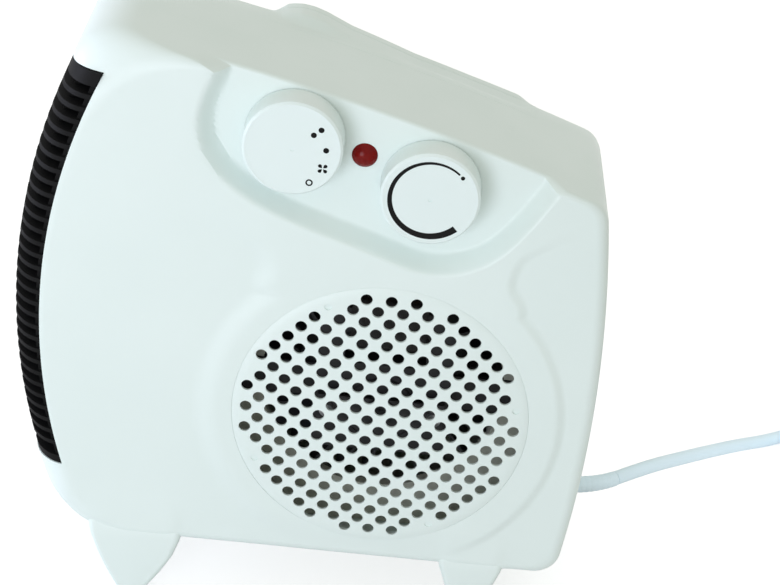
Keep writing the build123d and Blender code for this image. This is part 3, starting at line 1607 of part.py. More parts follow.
NODES = {
    "control_side_shell": control_side_shell,
    "plain_side_shell": plain_side_shell,
    "carry_handle": carry_handle,
    "outlet_grille": outlet_grille,
    "intake_grille": intake_grille,
    "selector_knob": lambda: knob(selector_x, selector_height),
    "thermostat_knob": lambda: knob(thermostat_x, thermostat_height),
    "selector_shaft": lambda: control_shaft(selector_x, selector_height, switch_back - 3.4),
    "thermostat_shaft": lambda: control_shaft(thermostat_x, thermostat_height, switch_front + 8.6),
    "selector_switch": selector_switch,
    "thermostat_body": thermostat_body,
    "thermostat_bimetal": thermostat_bimetal,
    "selector_screws": lambda: control_screws(control_screw_spots[:2]),
    "thermostat_screws": lambda: control_screws(control_screw_spots[2:]),
    "indicator_lens": indicator_lens,
    "neon_lamp": neon_lamp,
    "lens_clip": lens_clip,
    "fan_shroud": fan_shroud,
    "scroll_housing": scroll_housing,
    "shroud_screws": shroud_screws,
    "scroll_screws": scroll_screws,
    "fan_impeller": fan_impeller,
    "fan_shaft": fan_shaft,
    "impeller_clip": impeller_clip,
    "motor_rotor": motor_rotor,
    "motor_core": motor_core,
    "motor_coil": motor_coil,
    "motor_front_bracket": motor_front_bracket,
    "motor_rear_bracket": motor_rear_bracket,
    "motor_bearings": motor_bearings,
    "motor_mount": motor_mount,
    "motor_screws": motor_screws,
    "heat_shield": heat_shield,
    "element_frame": element_frame,
    "heating_ribbons": heating_ribbons,
    "element_terminals": element_terminals,
    "thermal_cutout": thermal_cutout,
    "thermal_fuse": thermal_fuse,
    "cord_bushing": cord_bushing,
    "power_cord": power_cord,
    "cord_coil": cord_coil,
    "plug_body": plug_body,
    "plug_pins": plug_pins,
    "inner_cord": inner_cord,
    "cord_clamp": cord_clamp,
    "cord_clamp_screws": cord_clamp_screws,
    "terminal_block": terminal_block,
    "internal_leads": internal_leads,
    "casing_screws": casing_screws,
    "side_rest_pads": side_rest_pads,
}


def main():
    os.makedirs("parts", exist_ok=True)
    for name, make in NODES.items():
        save(make(), name)


main()
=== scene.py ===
import json
import math

import bmesh
import bpy
import numpy as np
from mathutils import Matrix, Vector


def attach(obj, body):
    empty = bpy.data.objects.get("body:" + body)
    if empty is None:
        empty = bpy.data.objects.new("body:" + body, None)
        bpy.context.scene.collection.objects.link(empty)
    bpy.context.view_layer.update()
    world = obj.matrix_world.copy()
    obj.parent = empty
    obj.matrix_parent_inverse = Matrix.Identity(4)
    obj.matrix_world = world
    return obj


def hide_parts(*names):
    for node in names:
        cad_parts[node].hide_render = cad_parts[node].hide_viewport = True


# Upright fan heater: camera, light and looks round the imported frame. Sizes below are millimetres
# in the frame's axes, turned into metres by MM. The lamps and the floor are given in metres.
MM = 0.001

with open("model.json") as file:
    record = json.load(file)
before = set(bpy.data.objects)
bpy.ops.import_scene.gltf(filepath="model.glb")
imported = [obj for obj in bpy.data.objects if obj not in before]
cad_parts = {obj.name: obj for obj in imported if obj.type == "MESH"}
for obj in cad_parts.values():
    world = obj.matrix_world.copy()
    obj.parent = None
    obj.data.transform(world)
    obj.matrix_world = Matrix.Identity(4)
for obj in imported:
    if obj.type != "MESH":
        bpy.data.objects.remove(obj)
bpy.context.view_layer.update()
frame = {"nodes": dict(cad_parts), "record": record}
nodes = frame["nodes"]


def metres(*values):
    """A point given in millimetres."""
    return Vector([v * MM for v in values])


# Camera: the photograph's viewing angle

camera_lens = 94.34
camera_place = (23.9, -772.95, 565.4)
camera_right = (0.99505, 0.03907, 0.09133)
camera_up = (-0.09880, 0.48462, 0.86913)


def make_camera():
    data = bpy.data.cameras.new("camera")
    data.lens = camera_lens
    data.sensor_width = 36.0
    camera = bpy.data.objects.new("camera", data)
    right = Vector(camera_right).normalized()
    up = Vector(camera_up)
    up = (up - right * up.dot(right)).normalized()
    back = right.cross(up)
    turn = Matrix((right, up, back)).transposed().to_4x4()
    camera.matrix_world = Matrix.Translation(metres(*camera_place)) @ turn
    bpy.context.scene.collection.objects.link(camera)
    bpy.context.scene.camera = camera


# Flex: its route from the strain relief's tip to the coil, and the coil's turns

cord_diameter = 6.5
rear_x = 122.55
relief_x = rear_x - 2.0
relief_y = 6.45
relief_z = 41.0
relief_length = 27.0
relief_bend = 38.0
straight_out = 20.0
cord_route = (
    (180.0, 51.0, 32.0),
    (199.4, 78.9, 20.0),
    (219.3, 105.0, 9.0),
    (237.6, 121.1, 3.4),
)
coil_x = 297.0
coil_y = 104.0
coil_outer = 46.0
coil_pitch = 7.0
coil_turns_in = 3.0
coil_turns_out = 2.5
coil_climb = 180.0
coil_start_angle = 120.0
coil_total = 360.0 * (coil_turns_in + coil_turns_out) + coil_climb
coil_arrival = 19.0
coil_leaving = 15.0
tail_length = 46.0
plug_height = 26.0
plug_arrival = 15.0
floor_clearance = 0.05
points_per_turn = 24


def relief_place(share):
    """Centre and direction on the strain relief's bent axis, in millimetres."""
    radius = relief_length / math.radians(relief_bend)
    angle = math.radians(relief_bend) * share
    x = relief_x + radius * math.sin(angle)
    y = relief_y + radius * (1 - math.cos(angle))
    return Vector((x, y, relief_z)), Vector((math.cos(angle), math.sin(angle), 0.0))


def coil_point(angle):
    """A point of the coil's centreline, by the angle turned since it starts."""
    inwards = 360.0 * coil_turns_in
    low = cord_diameter / 2 + floor_clearance
    inner = coil_outer - coil_pitch * coil_turns_in
    if angle <= inwards:
        radius = coil_outer - coil_pitch * angle / 360.0
        z = low
    elif angle <= inwards + coil_climb:
        share = (angle - inwards) / coil_climb
        radius = inner - coil_pitch / (2 * math.pi) * math.sin(math.pi * share)
        z = low + coil_pitch * (share - math.sin(2 * math.pi * share) / (2 * math.pi))
    else:
        radius = inner + coil_pitch * (angle - inwards - coil_climb) / 360.0
        z = low + coil_pitch
    turn = math.radians(coil_start_angle - angle)
    return Vector((coil_x + radius * math.cos(turn), coil_y + radius * math.sin(turn), z))


def coil_direction(angle):
    step = 0.05
    return (coil_point(angle + step) - coil_point(angle - step)).normalized()


def plug_place():
    """Where the flex enters the plug, and the plug's direction."""
    along = coil_direction(coil_total)
    flat = Vector((along.x, along.y, 0.0)).normalized()
    place = coil_point(coil_total) + flat * tail_length
    return Vector((place.x, place.y, plug_height / 2 + floor_clearance)), flat


def flex_points():
    """Control points of the whole flex, in millimetres."""
    tip, direction = relief_place(1.0)
    arrive = coil_direction(0.0)
    points = [tip, tip + direction * straight_out]
    points += [Vector(p) for p in cord_route]
    points.append(coil_point(0.0) - arrive * coil_arrival)
    steps = int(round(coil_total / 360.0 * points_per_turn))
    points += [coil_point(coil_total * k / steps) for k in range(steps + 1)]
    end, flat = plug_place()
    leave = coil_direction(coil_total)
    points.append(coil_point(coil_total) + leave * coil_leaving)
    points.append(end - flat * plug_arrival)
    points.append(end)
    return points


def make_flex():
    """The flex as one NURBS curve. Its bevel is 1, so each point's radius is the cord's own."""
    curve = bpy.data.curves.new("flex", "CURVE")
    curve.dimensions = "3D"
    spline = curve.splines.new("NURBS")
    points = flex_points()
    spline.points.add(len(points) - 1)
    for spot, point in zip(spline.points, points):
        spot.co = (*(point * MM), 1.0)
        spot.radius = cord_diameter / 2 * MM
    spline.order_u = 3
    spline.use_endpoint_u = True
    spline.resolution_u = 6
    curve.bevel_depth = 1.0
    curve.bevel_resolution = 6
    curve.use_fill_caps = True
    flex = bpy.data.objects.new("flex", curve)
    bpy.context.scene.collection.objects.link(flex)
    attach(flex, "casing")
    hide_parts("power_cord", "cord_coil")
    return flex


# Casing outline, seen from the control side: four long arcs joined by four rounded corners

case_length = 245.5
parting_depth = 38.0
parting_lip = 0.15
wall = 2.4
face_y = -52.05
leg_length = 31.0
front_x = rear_x - case_length
flat_radius = 1.0e6
top_ends = (268.2, 207.4)
top_radius = 1100.0
front_circle = (front_x + 274.0, 138.0, 274.0)
rear_circle = (rear_x - 595.0, 115.0, 595.0)
front_round = (16.0, 20.0)
top_round = 2.6
edge_round = 5.0
least_round = 0.05
corner_rounds = (30.0, 22.0, 12.0, 11.0)
face_corner = 46.0
side_points = (130, 340, 100, 110)
corner_points = (16, 40, 16, 14)
ring_depths = (0.0, 0.06, 0.25, 0.55, 1.0, 1.6, 2.3, 3.1)
ring_depths += (4.1, 5.3, 7.0, 9.0, 11.5, 14.0, 17.0, 20.0)


def top_circle():
    """The circle of the case top, through its height at both ends."""
    chord = math.hypot(case_length, top_ends[0] - top_ends[1])
    drop = math.sqrt(top_radius ** 2 - (chord / 2) ** 2)
    middle = (top_ends[0] + top_ends[1]) / 2
    slope = (top_ends[1] - top_ends[0]) / chord
    return (slope * drop, middle - case_length / chord * drop, top_radius)


crown = top_circle()


def crossing(a, b, near):
    """The crossing of two circles (x, z, radius) that lies nearest to a place."""
    dx = b[0] - a[0]
    dz = b[1] - a[1]
    gap = math.hypot(dx, dz)
    along = (gap ** 2 + a[2] ** 2 - b[2] ** 2) / (2 * gap)
    side = math.sqrt(a[2] ** 2 - along ** 2)
    found = [
        (a[0] + (along * dx - s * side * dz) / gap, a[1] + (along * dz + s * side * dx) / gap)
        for s in (1, -1)
    ]
    return min(found, key=lambda p: math.hypot(p[0] - near[0], p[1] - near[1]))


def towards(circle, place):
    return math.atan2(place[1] - circle[1], place[0] - circle[0])


def arc(circle, start, end, count):
    """Points clockwise along a circle, without the last one."""
    x, z, radius = circle
    turn = (end - start) % (2 * math.pi) - 2 * math.pi
    angles = [start + turn * k / count for k in range(count)]
    return [(x + radius * math.cos(a), z + radius * math.sin(a)) for a in angles]


def section(insets, corners):
    """The closed outline, with each side drawn in: front, top, rear, bottom."""
    front, top, rear, bottom = insets
    sides = (
        (front_circle[0], front_circle[1], front_circle[2] - front),
        (crown[0], crown[1], crown[2] - top),
        (rear_circle[0], rear_circle[1], rear_circle[2] - rear),
        (0.0, leg_length + bottom + flat_radius, flat_radius),
    )
    places = (
        (front_x, leg_length),
        (front_x, top_ends[0]),
        (rear_x, top_ends[1]),
        (rear_x, leg_length),
    )
    rounds = []
    for i, radius in enumerate(corners):
        pair = [(c[0], c[1], c[2] - radius) for c in (sides[i - 1], sides[i])]
        rounds.append((*crossing(*pair, places[i]), radius))
    points = []
    for i, side in enumerate(sides):
        start = towards(sides[i - 1], rounds[i])
        begin = towards(side, rounds[i])
        end = towards(side, rounds[(i + 1) % 4])
        points += arc(rounds[i], start, begin, corner_points[i])
        points += arc(side, begin, end, side_points[i])
    return np.array(points)


def drawn_in(d, inwards, deep, skin):
    """How far a rounded edge has drawn a side in at a depth, for a surface below the outside."""
    a = max(inwards - skin, least_round)
    b = max(deep - skin, least_round)
    share = 1 - min(max(d - skin, 0.0) / b, 1.0)
    return skin + a * (1 - math.sqrt(1 - share ** 2))


def near_section(d, skin):
    """The case section at a depth in the control half."""
    front = drawn_in(d, *front_round, skin)
    top = drawn_in(d, top_round, top_round, skin)
    edge = drawn_in(d, edge_round, edge_round, skin)
    soft = max(0.0, 1 - (d - skin) / front_round[1])
    corners = [c - skin for c in corner_rounds]
    corners[1] += (face_corner - corner_rounds[1]) * soft ** 2
    return section((front, top, edge, edge), corners)


# Legs: each row is a height as a share of the leg's length, then the leg's left and right side

leg_flare = 2.4
leg_flush_height = 56.0
leg_tip_depth = 9.0
leg_root_depth = 17.0
leg_edge_round = 3.0
leg_corner_steps = 8
front_leg = (
    (0.0, -71.4, -63.8),
    (0.07, -73.2, -62.2),
    (0.2, -75.6, -60.2),
    (0.42, -79.4, -55.4),
    (0.7, -83.4, -50.4),
    (1.0, -86.8, -47.2),
    (1.3, -88.4, -46.2),
    (2.6, -90.0, -45.0),
)
rear_leg = (
    (0.0, 75.8, 83.4),
    (0.07, 75.0, 84.4),
    (0.2, 73.9, 85.4),
    (0.42, 71.9, 87.2),
    (0.7, 69.2, 90.0),
    (1.0, 65.8, 93.4),
    (1.3, 64.4, 94.8),
    (2.6, 63.0, 96.0),
)
leg_heights = (0.0, 1.2, 2.6, 4.5, 7.0, 10.0, 14.0, 18.0, 22.0, 26.0, 30.0, 32.0, 36.0, 41.0, 46.0)
leg_top = 32.0
leg_sink_slope = 0.15
leg_sink_most = 1.0
leg_soft_edge = 5.0
leg_soft_blur = 1.5

# Relief of the control face: the sunk control panel and the raised pad round the intake

fan_x = 33.5
fan_z = 105.0
recess_depth = 8.0
recess_slope = 5.5
recess_blur = 0.9
recess_skin_share = 0.7
recess_points = (
    (-40.1, 259.8),
    (-49.1, 233.8),
    (-43.1, 212.8),
    (-20.1, 195.8),
    (21.05, 182.35),
    (47.2, 174.4),
    (70.2, 181.4),
    (86.2, 200.4),
    (100.2, 225.9),
)
pad_radius = 77.0
pad_rise = 1.5
pad_slope = (7.0, 3.0)
pad_slope_x = (-25.0, 30.0)
pad_blur = 0.36
neck_points = (
    (-140.0, 99.0),
    (-100.0, 92.0),
    (-72.8, 80.8),
    (-60.0, 73.5),
    (-54.5, 66.0),
    (-52.5, 50.0),
    (0.0, 20.0),
    (52.0, 50.0),
    (49.0, 68.0),
    (51.5, 79.0),
    (58.6, 84.4),
    (69.4, 92.3),
    (100.0, 112.0),
    (140.0, 135.0),
)
pad_fade = (62.0, 104.0)
flare_fade = (56.0, 92.0)
pad_foot = (14.0, 4.0)
above_top = 330.0
recess_steps = 14
recess_passes = 24
neck_steps = 6


def bend(value, blur):
    """0 below zero and the value above it, with the bend rounded."""
    middle = (value + blur) ** 2 / (4 * blur)
    return np.where(value < -blur, 0.0, np.where(value > blur, value, middle))


def soft_ramp(value, width, blur):
    """0 to 1 over a width, with both bends rounded."""
    return (bend(value, blur) - bend(value - width, blur)) / width


def smooth_curve(points, steps):
    """Points along a curve through the given ones."""
    knots = np.array(points, float)
    knots = np.vstack([2 * knots[0] - knots[1], knots, 2 * knots[-1] - knots[-2]])
    t = np.linspace(0.0, 1.0, steps, endpoint=False)[:, None]
    parts = []
    for a, b, c, d in zip(knots, knots[1:], knots[2:], knots[3:]):
        curve = 2 * b + (c - a) * t + (2 * a - 5 * b + 4 * c - d) * t ** 2
        parts.append((curve + (3 * b - a - 3 * c + d) * t ** 3) / 2)
    return np.vstack([*parts, knots[-2]])


def rounded_off(curve, passes):
    """The curve with its bends eased, and both ends kept."""
    curve = curve.copy()
    for _ in range(passes):
        curve[1:-1] = (curve[:-2] + 2 * curve[1:-1] + curve[2:]) / 4
    return curve


def inside(places, closed):
    """Whether each place lies inside a closed polygon."""
    x, z = places[:, :1], places[:, 1:]
    ax, az = closed[:, 0], closed[:, 1]
    bx, bz = np.roll(ax, -1), np.roll(az, -1)
    rise = np.where(bz == az, 1e-9, bz - az)
    hits = ((az > z) != (bz > z)) & (x < ax + (z - az) / rise * (bx - ax))
    return hits.sum(axis=1) % 2 == 1


def signed_distance(places, curve):
    """Distance to an open curve: positive on its inner side, which reaches up past the top."""
    a, b = curve[:-1], curve[1:]
    along = b - a
    from_a = places[:, None, :] - a
    share = np.clip((from_a * along).sum(axis=2) / (along ** 2).sum(axis=1), 0.0, 1.0)
    gap = from_a - share[:, :, None] * along
    far = np.sqrt((gap ** 2).sum(axis=2).min(axis=1))
    over = np.array([(curve[-1, 0], above_top), (curve[0, 0], above_top)])
    return np.where(inside(places, np.vstack([curve, over])), far, -far)


recess_curve = rounded_off(smooth_curve(recess_points, recess_steps), recess_passes)
neck_curve = smooth_curve(neck_points, neck_steps) + (fan_x, fan_z)


def fade(value, start, end):
    """1 before the start and 0 past the end."""
    share = np.clip((value - start) / (end - start), 0.0, 1.0)
    return 1 - share * share * (3 - 2 * share)


def leg_sides(profile, z):
    """Left and right side of a leg at some heights."""
    heights = [row[0] * leg_length for row in profile]
    return [np.interp(z, heights, [row[k] for row in profile]) for k in (1, 2)]


def leg_relief(places, profile):
    """How far a leg's root stands out of the face, fading upwards."""
    left, right = leg_sides(profile, places[:, 1])
    x = places[:, 0]
    across = np.minimum(x - left, right - x)
    proud = leg_flare * np.clip(1 - places[:, 1] / leg_flush_height, 0.0, 1.0)
    return proud * soft_ramp(across, leg_soft_edge, leg_soft_blur)


def face_depth(places, skin):
    """How far the surface lies behind the plane of the control face."""
    sunk = signed_distance(places, recess_curve) + skin * recess_skin_share
    recess = recess_depth * soft_ramp(sunk, recess_slope, recess_blur)
    x = places[:, 0] - fan_x
    z = places[:, 1] - fan_z
    round_pad = pad_radius - np.hypot(x, z)
    neck = signed_distance(places, neck_curve)
    width = np.interp(x, pad_slope_x, pad_slope)
    pad = soft_ramp(np.maximum(round_pad, neck), width, width * pad_blur)
    pad = pad * fade(z, *pad_fade) * fade(np.abs(x), *flare_fade) ** (z > pad_fade[0])
    foot = soft_ramp(places[:, 1] - leg_length - edge_round, *pad_foot)
    legs = leg_relief(places, front_leg) + leg_relief(places, rear_leg)
    return skin + recess - pad_rise * pad * foot - legs


# Meshes built from rings of points


def ring_mesh(name, rings):
    """A closed mesh through rings of points in millimetres, with a flat cap at either end."""
    count = len(rings[0])
    points = [tuple(p * MM) for ring in rings for p in ring]
    faces = [tuple(range(count))[::-1]]
    for k in range(len(rings) - 1):
        for i in range(count):
            a = k * count + i
            b = k * count + (i + 1) % count
            faces.append((a, b, b + count, a + count))
    faces.append(tuple(range(len(points) - count, len(points))))
    mesh = bpy.data.meshes.new(name)
    mesh.from_pydata(points, [], faces)
    piece = bpy.data.objects.new(name, mesh)
    bpy.context.scene.collection.objects.link(piece)
    return piece


def carved(name, base, added, taken):
    """One mesh from a base, with some shapes joined to it and others cut away."""
    for operation, tools in (("UNION", added), ("DIFFERENCE", taken)):
        for tool in tools:
            step = base.modifiers.new(tool.name, "BOOLEAN")
            step.operation = operation
            step.solver = "MANIFOLD"
            step.object = tool
    graph = bpy.context.evaluated_depsgraph_get()
    mesh = bpy.data.meshes.new_from_object(base.evaluated_get(graph))
    mesh.name = name
    for used in (base, *added, *taken):
        bpy.data.objects.remove(used)
    piece = bpy.data.objects.new(name, mesh)
    bpy.context.scene.collection.objects.link(piece)
    return piece


def joined(name, pieces):
    """Several meshes as one piece."""
    whole = bmesh.new()
    for piece in pieces:
        whole.from_mesh(piece.data)
        bpy.data.objects.remove(piece)
    mesh = bpy.data.meshes.new(name)
    whole.to_mesh(mesh)
    whole.free()
    piece = bpy.data.objects.new(name, mesh)
    bpy.context.scene.collection.objects.link(piece)
    return piece


def prism(name, outline, start, end):
    """A straight block along Y from an outline of (x, z) points."""
    rings = [np.array([(x, y, z) for x, z in outline]) for y in (start, end)]
    return ring_mesh(name, rings)


def disc_outline(x, z, radius, count):
    return arc((x, z, radius), math.pi, -math.pi, count)


# Near shell: the control half of the casing with its two legs

face_rings = 170
inside_rings = 64
last_ring_share = 0.985
recess_edge_share = 0.5
cut_before = 15.0
cut_past = 20.0
inside_past = 1.0
bore_sides = 256
intake_radius = 62.0
intake_gap = 0.04
intake_seat = 0.7
ledge_width = 2.2
ledge_reach = 6.0
lens_place = (17.0, 220.4)
lens_hole = 5.18
lens_hole_depth = 16.0
lens_sides = 48
grille_heights = (65.0, 247.0)
grille_inset = 13.4
grille_steps = 60


def near_half(name, skin, parting):
    """The control half as a filled block; skin makes it smaller, for the inside of the wall."""
    steps = [d + skin * (1 - d / ring_depths[-1]) for d in ring_depths]
    sections = [near_section(d, skin) for d in steps]
    edge = sections[0]
    centre = np.array([fan_x, fan_z])
    rings = []
    ring_count = inside_rings if skin else face_rings
    for k in range(ring_count):
        share = 1 - last_ring_share * (1 - k / ring_count)
        flat = centre + (edge - centre) * share
        depth = face_depth(flat, skin)
        rings.append(np.column_stack([flat[:, 0], face_y + depth, flat[:, 1]]))
    sunk = face_depth(edge, skin) - skin
    tight = np.clip(sunk / recess_depth, 0.0, 1.0) * recess_edge_share
    for d, flat in zip(steps, sections):
        high = flat[:, 1] + tight * drawn_in(d, top_round, top_round, skin)
        rings.append(np.column_stack([flat[:, 0], face_y + d + sunk, high]))
    last = near_section(parting_depth, skin)
    rings.append(np.column_stack([last[:, 0], np.full(len(last), face_y + parting), last[:, 1]]))
    return ring_mesh(name, rings)


def leg_ring(z, left, right):
    """A leg's horizontal section, with its two outer corners rounded."""
    proud = leg_flare * (1 - z / leg_flush_height) - leg_sink_slope * max(0.0, z - leg_top)
    thick = leg_tip_depth + (leg_root_depth - leg_tip_depth) * min(1.0, z / leg_length)
    outer = face_y - max(proud, -leg_sink_most)
    inner = face_y - proud + thick
    points = [(left, inner, z)]
    for x, turn in ((left, 1), (right, -1)):
        corner = []
        for k in range(leg_corner_steps + 1):
            a = math.pi / 2 * k / leg_corner_steps
            across = leg_edge_round * (1 - math.cos(a))
            back = leg_edge_round * (1 - math.sin(a))
            corner.append((x + turn * across, outer + back, z))
        points += corner if turn > 0 else corner[::-1]
    points.append((right, inner, z))
    return np.array(points[::-1])


def make_leg(name, profile):
    """A leg from its tip up to where it has sunk into the wall."""
    rings = [leg_ring(z, *(float(v) for v in leg_sides(profile, z))) for z in leg_heights]
    return ring_mesh(name, rings)


def grille_cutter(name):
    """The space of the outlet grille, open to the front."""
    edge = (front_circle[0], front_circle[1], front_circle[2] - grille_inset)
    low, high = grille_heights
    outline = []
    for k in range(grille_steps + 1):
        z = low + (high - low) * k / grille_steps
        outline.append((edge[0] - math.sqrt(edge[2] ** 2 - (z - edge[1]) ** 2), z))
    outline += [(front_x - cut_past, high), (front_x - cut_past, low)]
    return prism(name, outline[::-1], face_y - cut_before, face_y + parting_depth + cut_past)


def make_near_shell():
    """The near half's wall with its legs, and the openings cut out of it."""
    base = near_half("near_outer", 0.0, parting_depth + parting_lip)
    legs = [make_leg("near_front_leg", front_leg), make_leg("near_rear_leg", rear_leg)]
    hole = disc_outline(fan_x, fan_z, intake_radius + intake_gap, bore_sides)
    bore = disc_outline(fan_x, fan_z, intake_radius - ledge_width, bore_sides)
    lens = disc_outline(*lens_place, lens_hole, lens_sides)
    taken = [
        near_half("near_inner", wall, parting_depth + inside_past),
        prism("near_hole", hole, face_y - cut_before, face_y + intake_seat),
        prism("near_bore", bore, face_y - cut_before, face_y + ledge_reach),
        prism("near_lens", lens, face_y, face_y + lens_hole_depth),
        grille_cutter("near_grille"),
    ]
    shell = carved("near_shell", base, legs, taken)
    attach(shell, "casing")
    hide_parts("control_side_shell")
    return shell


# Intake disc: a dome with round holes on a square lattice turned by 45 degrees. Lattice places
# are counted in half pitches from the disc's centre, and hole_reach is the most that the sum of
# their squares may be.

dome_rise = 2.6
disc_thickness = 1.0
disc_edge = 0.18
disc_bevel = 0.3 * disc_edge
disc_rim_back = 0.5
disc_radii = (0.6, 8.0, 16.0, 24.0, 32.0, 40.0, 47.0, 53.0, 58.0)
disc_sides = 192
ledge_step = 0.05
half_pitch = 7.2 / math.sqrt(2)
lattice_reach = 11
hole_radius = 2.45
hole_reach = 125
hole_span = (-8.0, 3.0)
hole_sides = 30
stake_spots = ((-5, 10), (11, 2), (-10, -5), (5, -10))
stake_radius = 1.5
stake_dimple = 0.5
stake_sides = 24


def dome_y(radius):
    """Y of the intake disc's outer surface at a distance from its centre."""
    ball = (intake_radius ** 2 + dome_rise ** 2) / (2 * dome_rise)
    return face_y - pad_rise - dome_rise + ball - math.sqrt(ball ** 2 - radius ** 2)


def make_intake_disc():
    """The domed disc with its lattice of round holes and four staked spots."""
    rim_y = dome_y(intake_radius)
    back_y = face_y + disc_rim_back
    ledge = intake_radius - ledge_width
    profile = [(r, dome_y(r)) for r in (*disc_radii, intake_radius - disc_edge)]
    profile.append((intake_radius - disc_bevel, rim_y + disc_bevel))
    profile.append((intake_radius, rim_y + disc_edge))
    profile += [(intake_radius, back_y), (ledge, back_y)]
    profile += [(r, dome_y(r) + disc_thickness) for r in (ledge - ledge_step, *disc_radii[::-1])]
    rings = []
    for radius, y in profile:
        outline = disc_outline(fan_x, fan_z, radius, disc_sides)
        rings.append(np.array([(x, y, z) for x, z in outline]))
    base = ring_mesh("disc_base", rings)
    holes = []
    lattice = range(-lattice_reach, lattice_reach + 1)
    for i in lattice:
        for j in lattice:
            if (i + j) % 2 == 0 or i * i + j * j > hole_reach:
                continue
            x = fan_x + i * half_pitch
            z = fan_z + j * half_pitch
            if (i, j) in stake_spots:
                end = dome_y(math.hypot(x - fan_x, z - fan_z)) + stake_dimple
                outline = disc_outline(x, z, stake_radius, stake_sides)
            else:
                end = face_y + hole_span[1]
                outline = disc_outline(x, z, hole_radius, hole_sides)
            holes.append(prism("hole", outline, face_y + hole_span[0], end))
    disc = carved("intake_disc", base, [], [joined("disc_holes", holes)])
    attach(disc, "casing")
    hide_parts("intake_grille")
    return disc


# Grip: the low ridge along the top of the far half

case_depth = 106.0
plain_top_round = 42.0
grip_ends = (-28.6, 86.6)
grip_far = 84.0
grip_near = 60.5
grip_below = 11.0
grip_set_in = 2.0
grip_blend = (63.5, 70.5)
grip_far_round = 3.0
grip_skin = 0.03
grip_rise = (
    (-28.0, 0.2),
    (-23.0, 0.5),
    (-19.0, 2.2),
    (-15.0, 3.4),
    (-10.0, 3.8),
    (-5.0, 3.3),
    (0.0, 2.2),
    (6.0, 0.9),
    (18.0, -0.1),
    (33.0, -1.5),
    (57.0, -1.8),
    (87.0, -1.7),
)
grip_easing = (-28.0, -21.0, 78.0, 86.0)
grip_line = 77.0
grip_line_depth = 0.35
grip_line_width = 0.5
grip_steps = 60
grip_crowding = 1.25
grip_sections = 140


def top_z(x):
    """Height of the case's top at a place along it."""
    return crown[1] + math.sqrt(crown[2] ** 2 - (x - crown[0]) ** 2)


def eased(value, start, end):
    """0 before the start and 1 past the end, with a soft change between them."""
    share = min(max((value - start) / (end - start), 0.0), 1.0)
    return share * share * (3 - 2 * share)


def grip_section(x):
    """The grip's section across the case at a place along it."""
    a, b, c, d = grip_easing
    lift = eased(x, a, b) * (1 - eased(x, c, d))
    rise = float(np.interp(x, *zip(*grip_rise)))
    points = []
    for k in range(grip_steps):
        across = 1 - (1 - k / (grip_steps - 1)) ** grip_crowding
        depth = grip_near + (grip_far - grip_near) * across
        over = max(0.0, depth - case_depth + plain_top_round)
        shell_z = top_z(x) - plain_top_round + math.sqrt(plain_top_round ** 2 - over ** 2)
        share = eased(depth, *grip_blend) * lift
        z = shell_z + (top_z(x) + rise - shell_z) * share + grip_skin
        z -= grip_line_depth * math.exp(-((depth - grip_line) / grip_line_width) ** 2) * lift
        bend_in = max(0.0, depth - grip_far + grip_far_round)
        z -= grip_far_round - math.sqrt(grip_far_round ** 2 - bend_in ** 2)
        points.append((x, face_y + depth, z))
    low = top_z(x) - grip_below
    points += [(x, face_y + grip_far, low), (x, face_y + grip_near + grip_set_in, low)]
    return np.array(points)


def make_grip():
    """The ridge as sections set along the case's top."""
    start, end = grip_ends
    places = [start + (end - start) * k / grip_sections for k in range(grip_sections + 1)]
    grip = ring_mesh("grip", [grip_section(x)[::-1] for x in places])
    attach(grip, "casing")
    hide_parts("carry_handle")
    return grip


# Marks on the two knobs: thin raised ink on the dished faces

selector_place = (-11.1, 225.8)
thermostat_place = (44.2, 209.9)
ink_back = -56.75
ink_front = -56.88
dot_radius = 1.15
dot_sides = 32
off_ring = (1.45, 0.85)
ring_sides = 40
mark_angles = (-60.8, -29.5, 3.7, 40.8)
mark_reaches = (15.5, 14.2, 13.2, 10.5, 14.2)
fan_blades = 4
fan_reach = 2.3
leaf_steps = 20
leaf_root = 0.16
leaf_width = 0.483
arc_reach = 15.9
arc_angles = (49.0, 313.6)
arc_widths = (0.75, 2.9)
arc_steps = 120
arc_dot_angle = 6.5
arc_dot_radius = 0.85


def mark_spot(place, angle, reach):
    a = math.radians(angle)
    return (place[0] + reach * math.cos(a), place[1] + reach * math.sin(a))


def ring_band(name, x, z, outer, inner):
    """A flat ring as a closed mesh."""
    rings = []
    for radius, y in ((outer, ink_back), (outer, ink_front), (inner, ink_front), (inner, ink_back)):
        rings.append(np.array([(a, y, b) for a, b in disc_outline(x, z, radius, ring_sides)]))
    count = len(rings[0])
    points = [tuple(p * MM) for ring in rings for p in ring]
    faces = []
    for k in range(4):
        for i in range(count):
            j = (i + 1) % count
            after = (k + 1) % 4
            faces.append((k * count + j, k * count + i, after * count + i, after * count + j))
    mesh = bpy.data.meshes.new(name)
    mesh.from_pydata(points, [], faces)
    piece = bpy.data.objects.new(name, mesh)
    bpy.context.scene.collection.objects.link(piece)
    return piece


def blade_outline(x, z, turn):
    """One leaf of the small fan symbol."""
    points = []
    for k in range(leaf_steps):
        share = k / leaf_steps
        a = turn + leaf_width * math.sin(2 * math.pi * share)
        swell = (1 - math.cos(2 * math.pi * share)) / 2
        reach = fan_reach * (leaf_root + (1 - leaf_root) * swell)
        points.append((x + reach * math.cos(a), z + reach * math.sin(a)))
    return points


def grown_arc():
    """The thermostat's arc, which widens clockwise from its fine end."""
    outer = []
    inner = []
    for k in range(arc_steps + 1):
        share = k / arc_steps
        angle = arc_angles[0] + (arc_angles[1] - arc_angles[0]) * share
        half = (arc_widths[0] + (arc_widths[1] - arc_widths[0]) * share) / 2
        outer.append(mark_spot(thermostat_place, angle, arc_reach + half))
        inner.append(mark_spot(thermostat_place, angle, arc_reach - half))
    return outer[::-1] + inner


def ink(name, outline):
    return prism(name, outline, ink_back, ink_front)


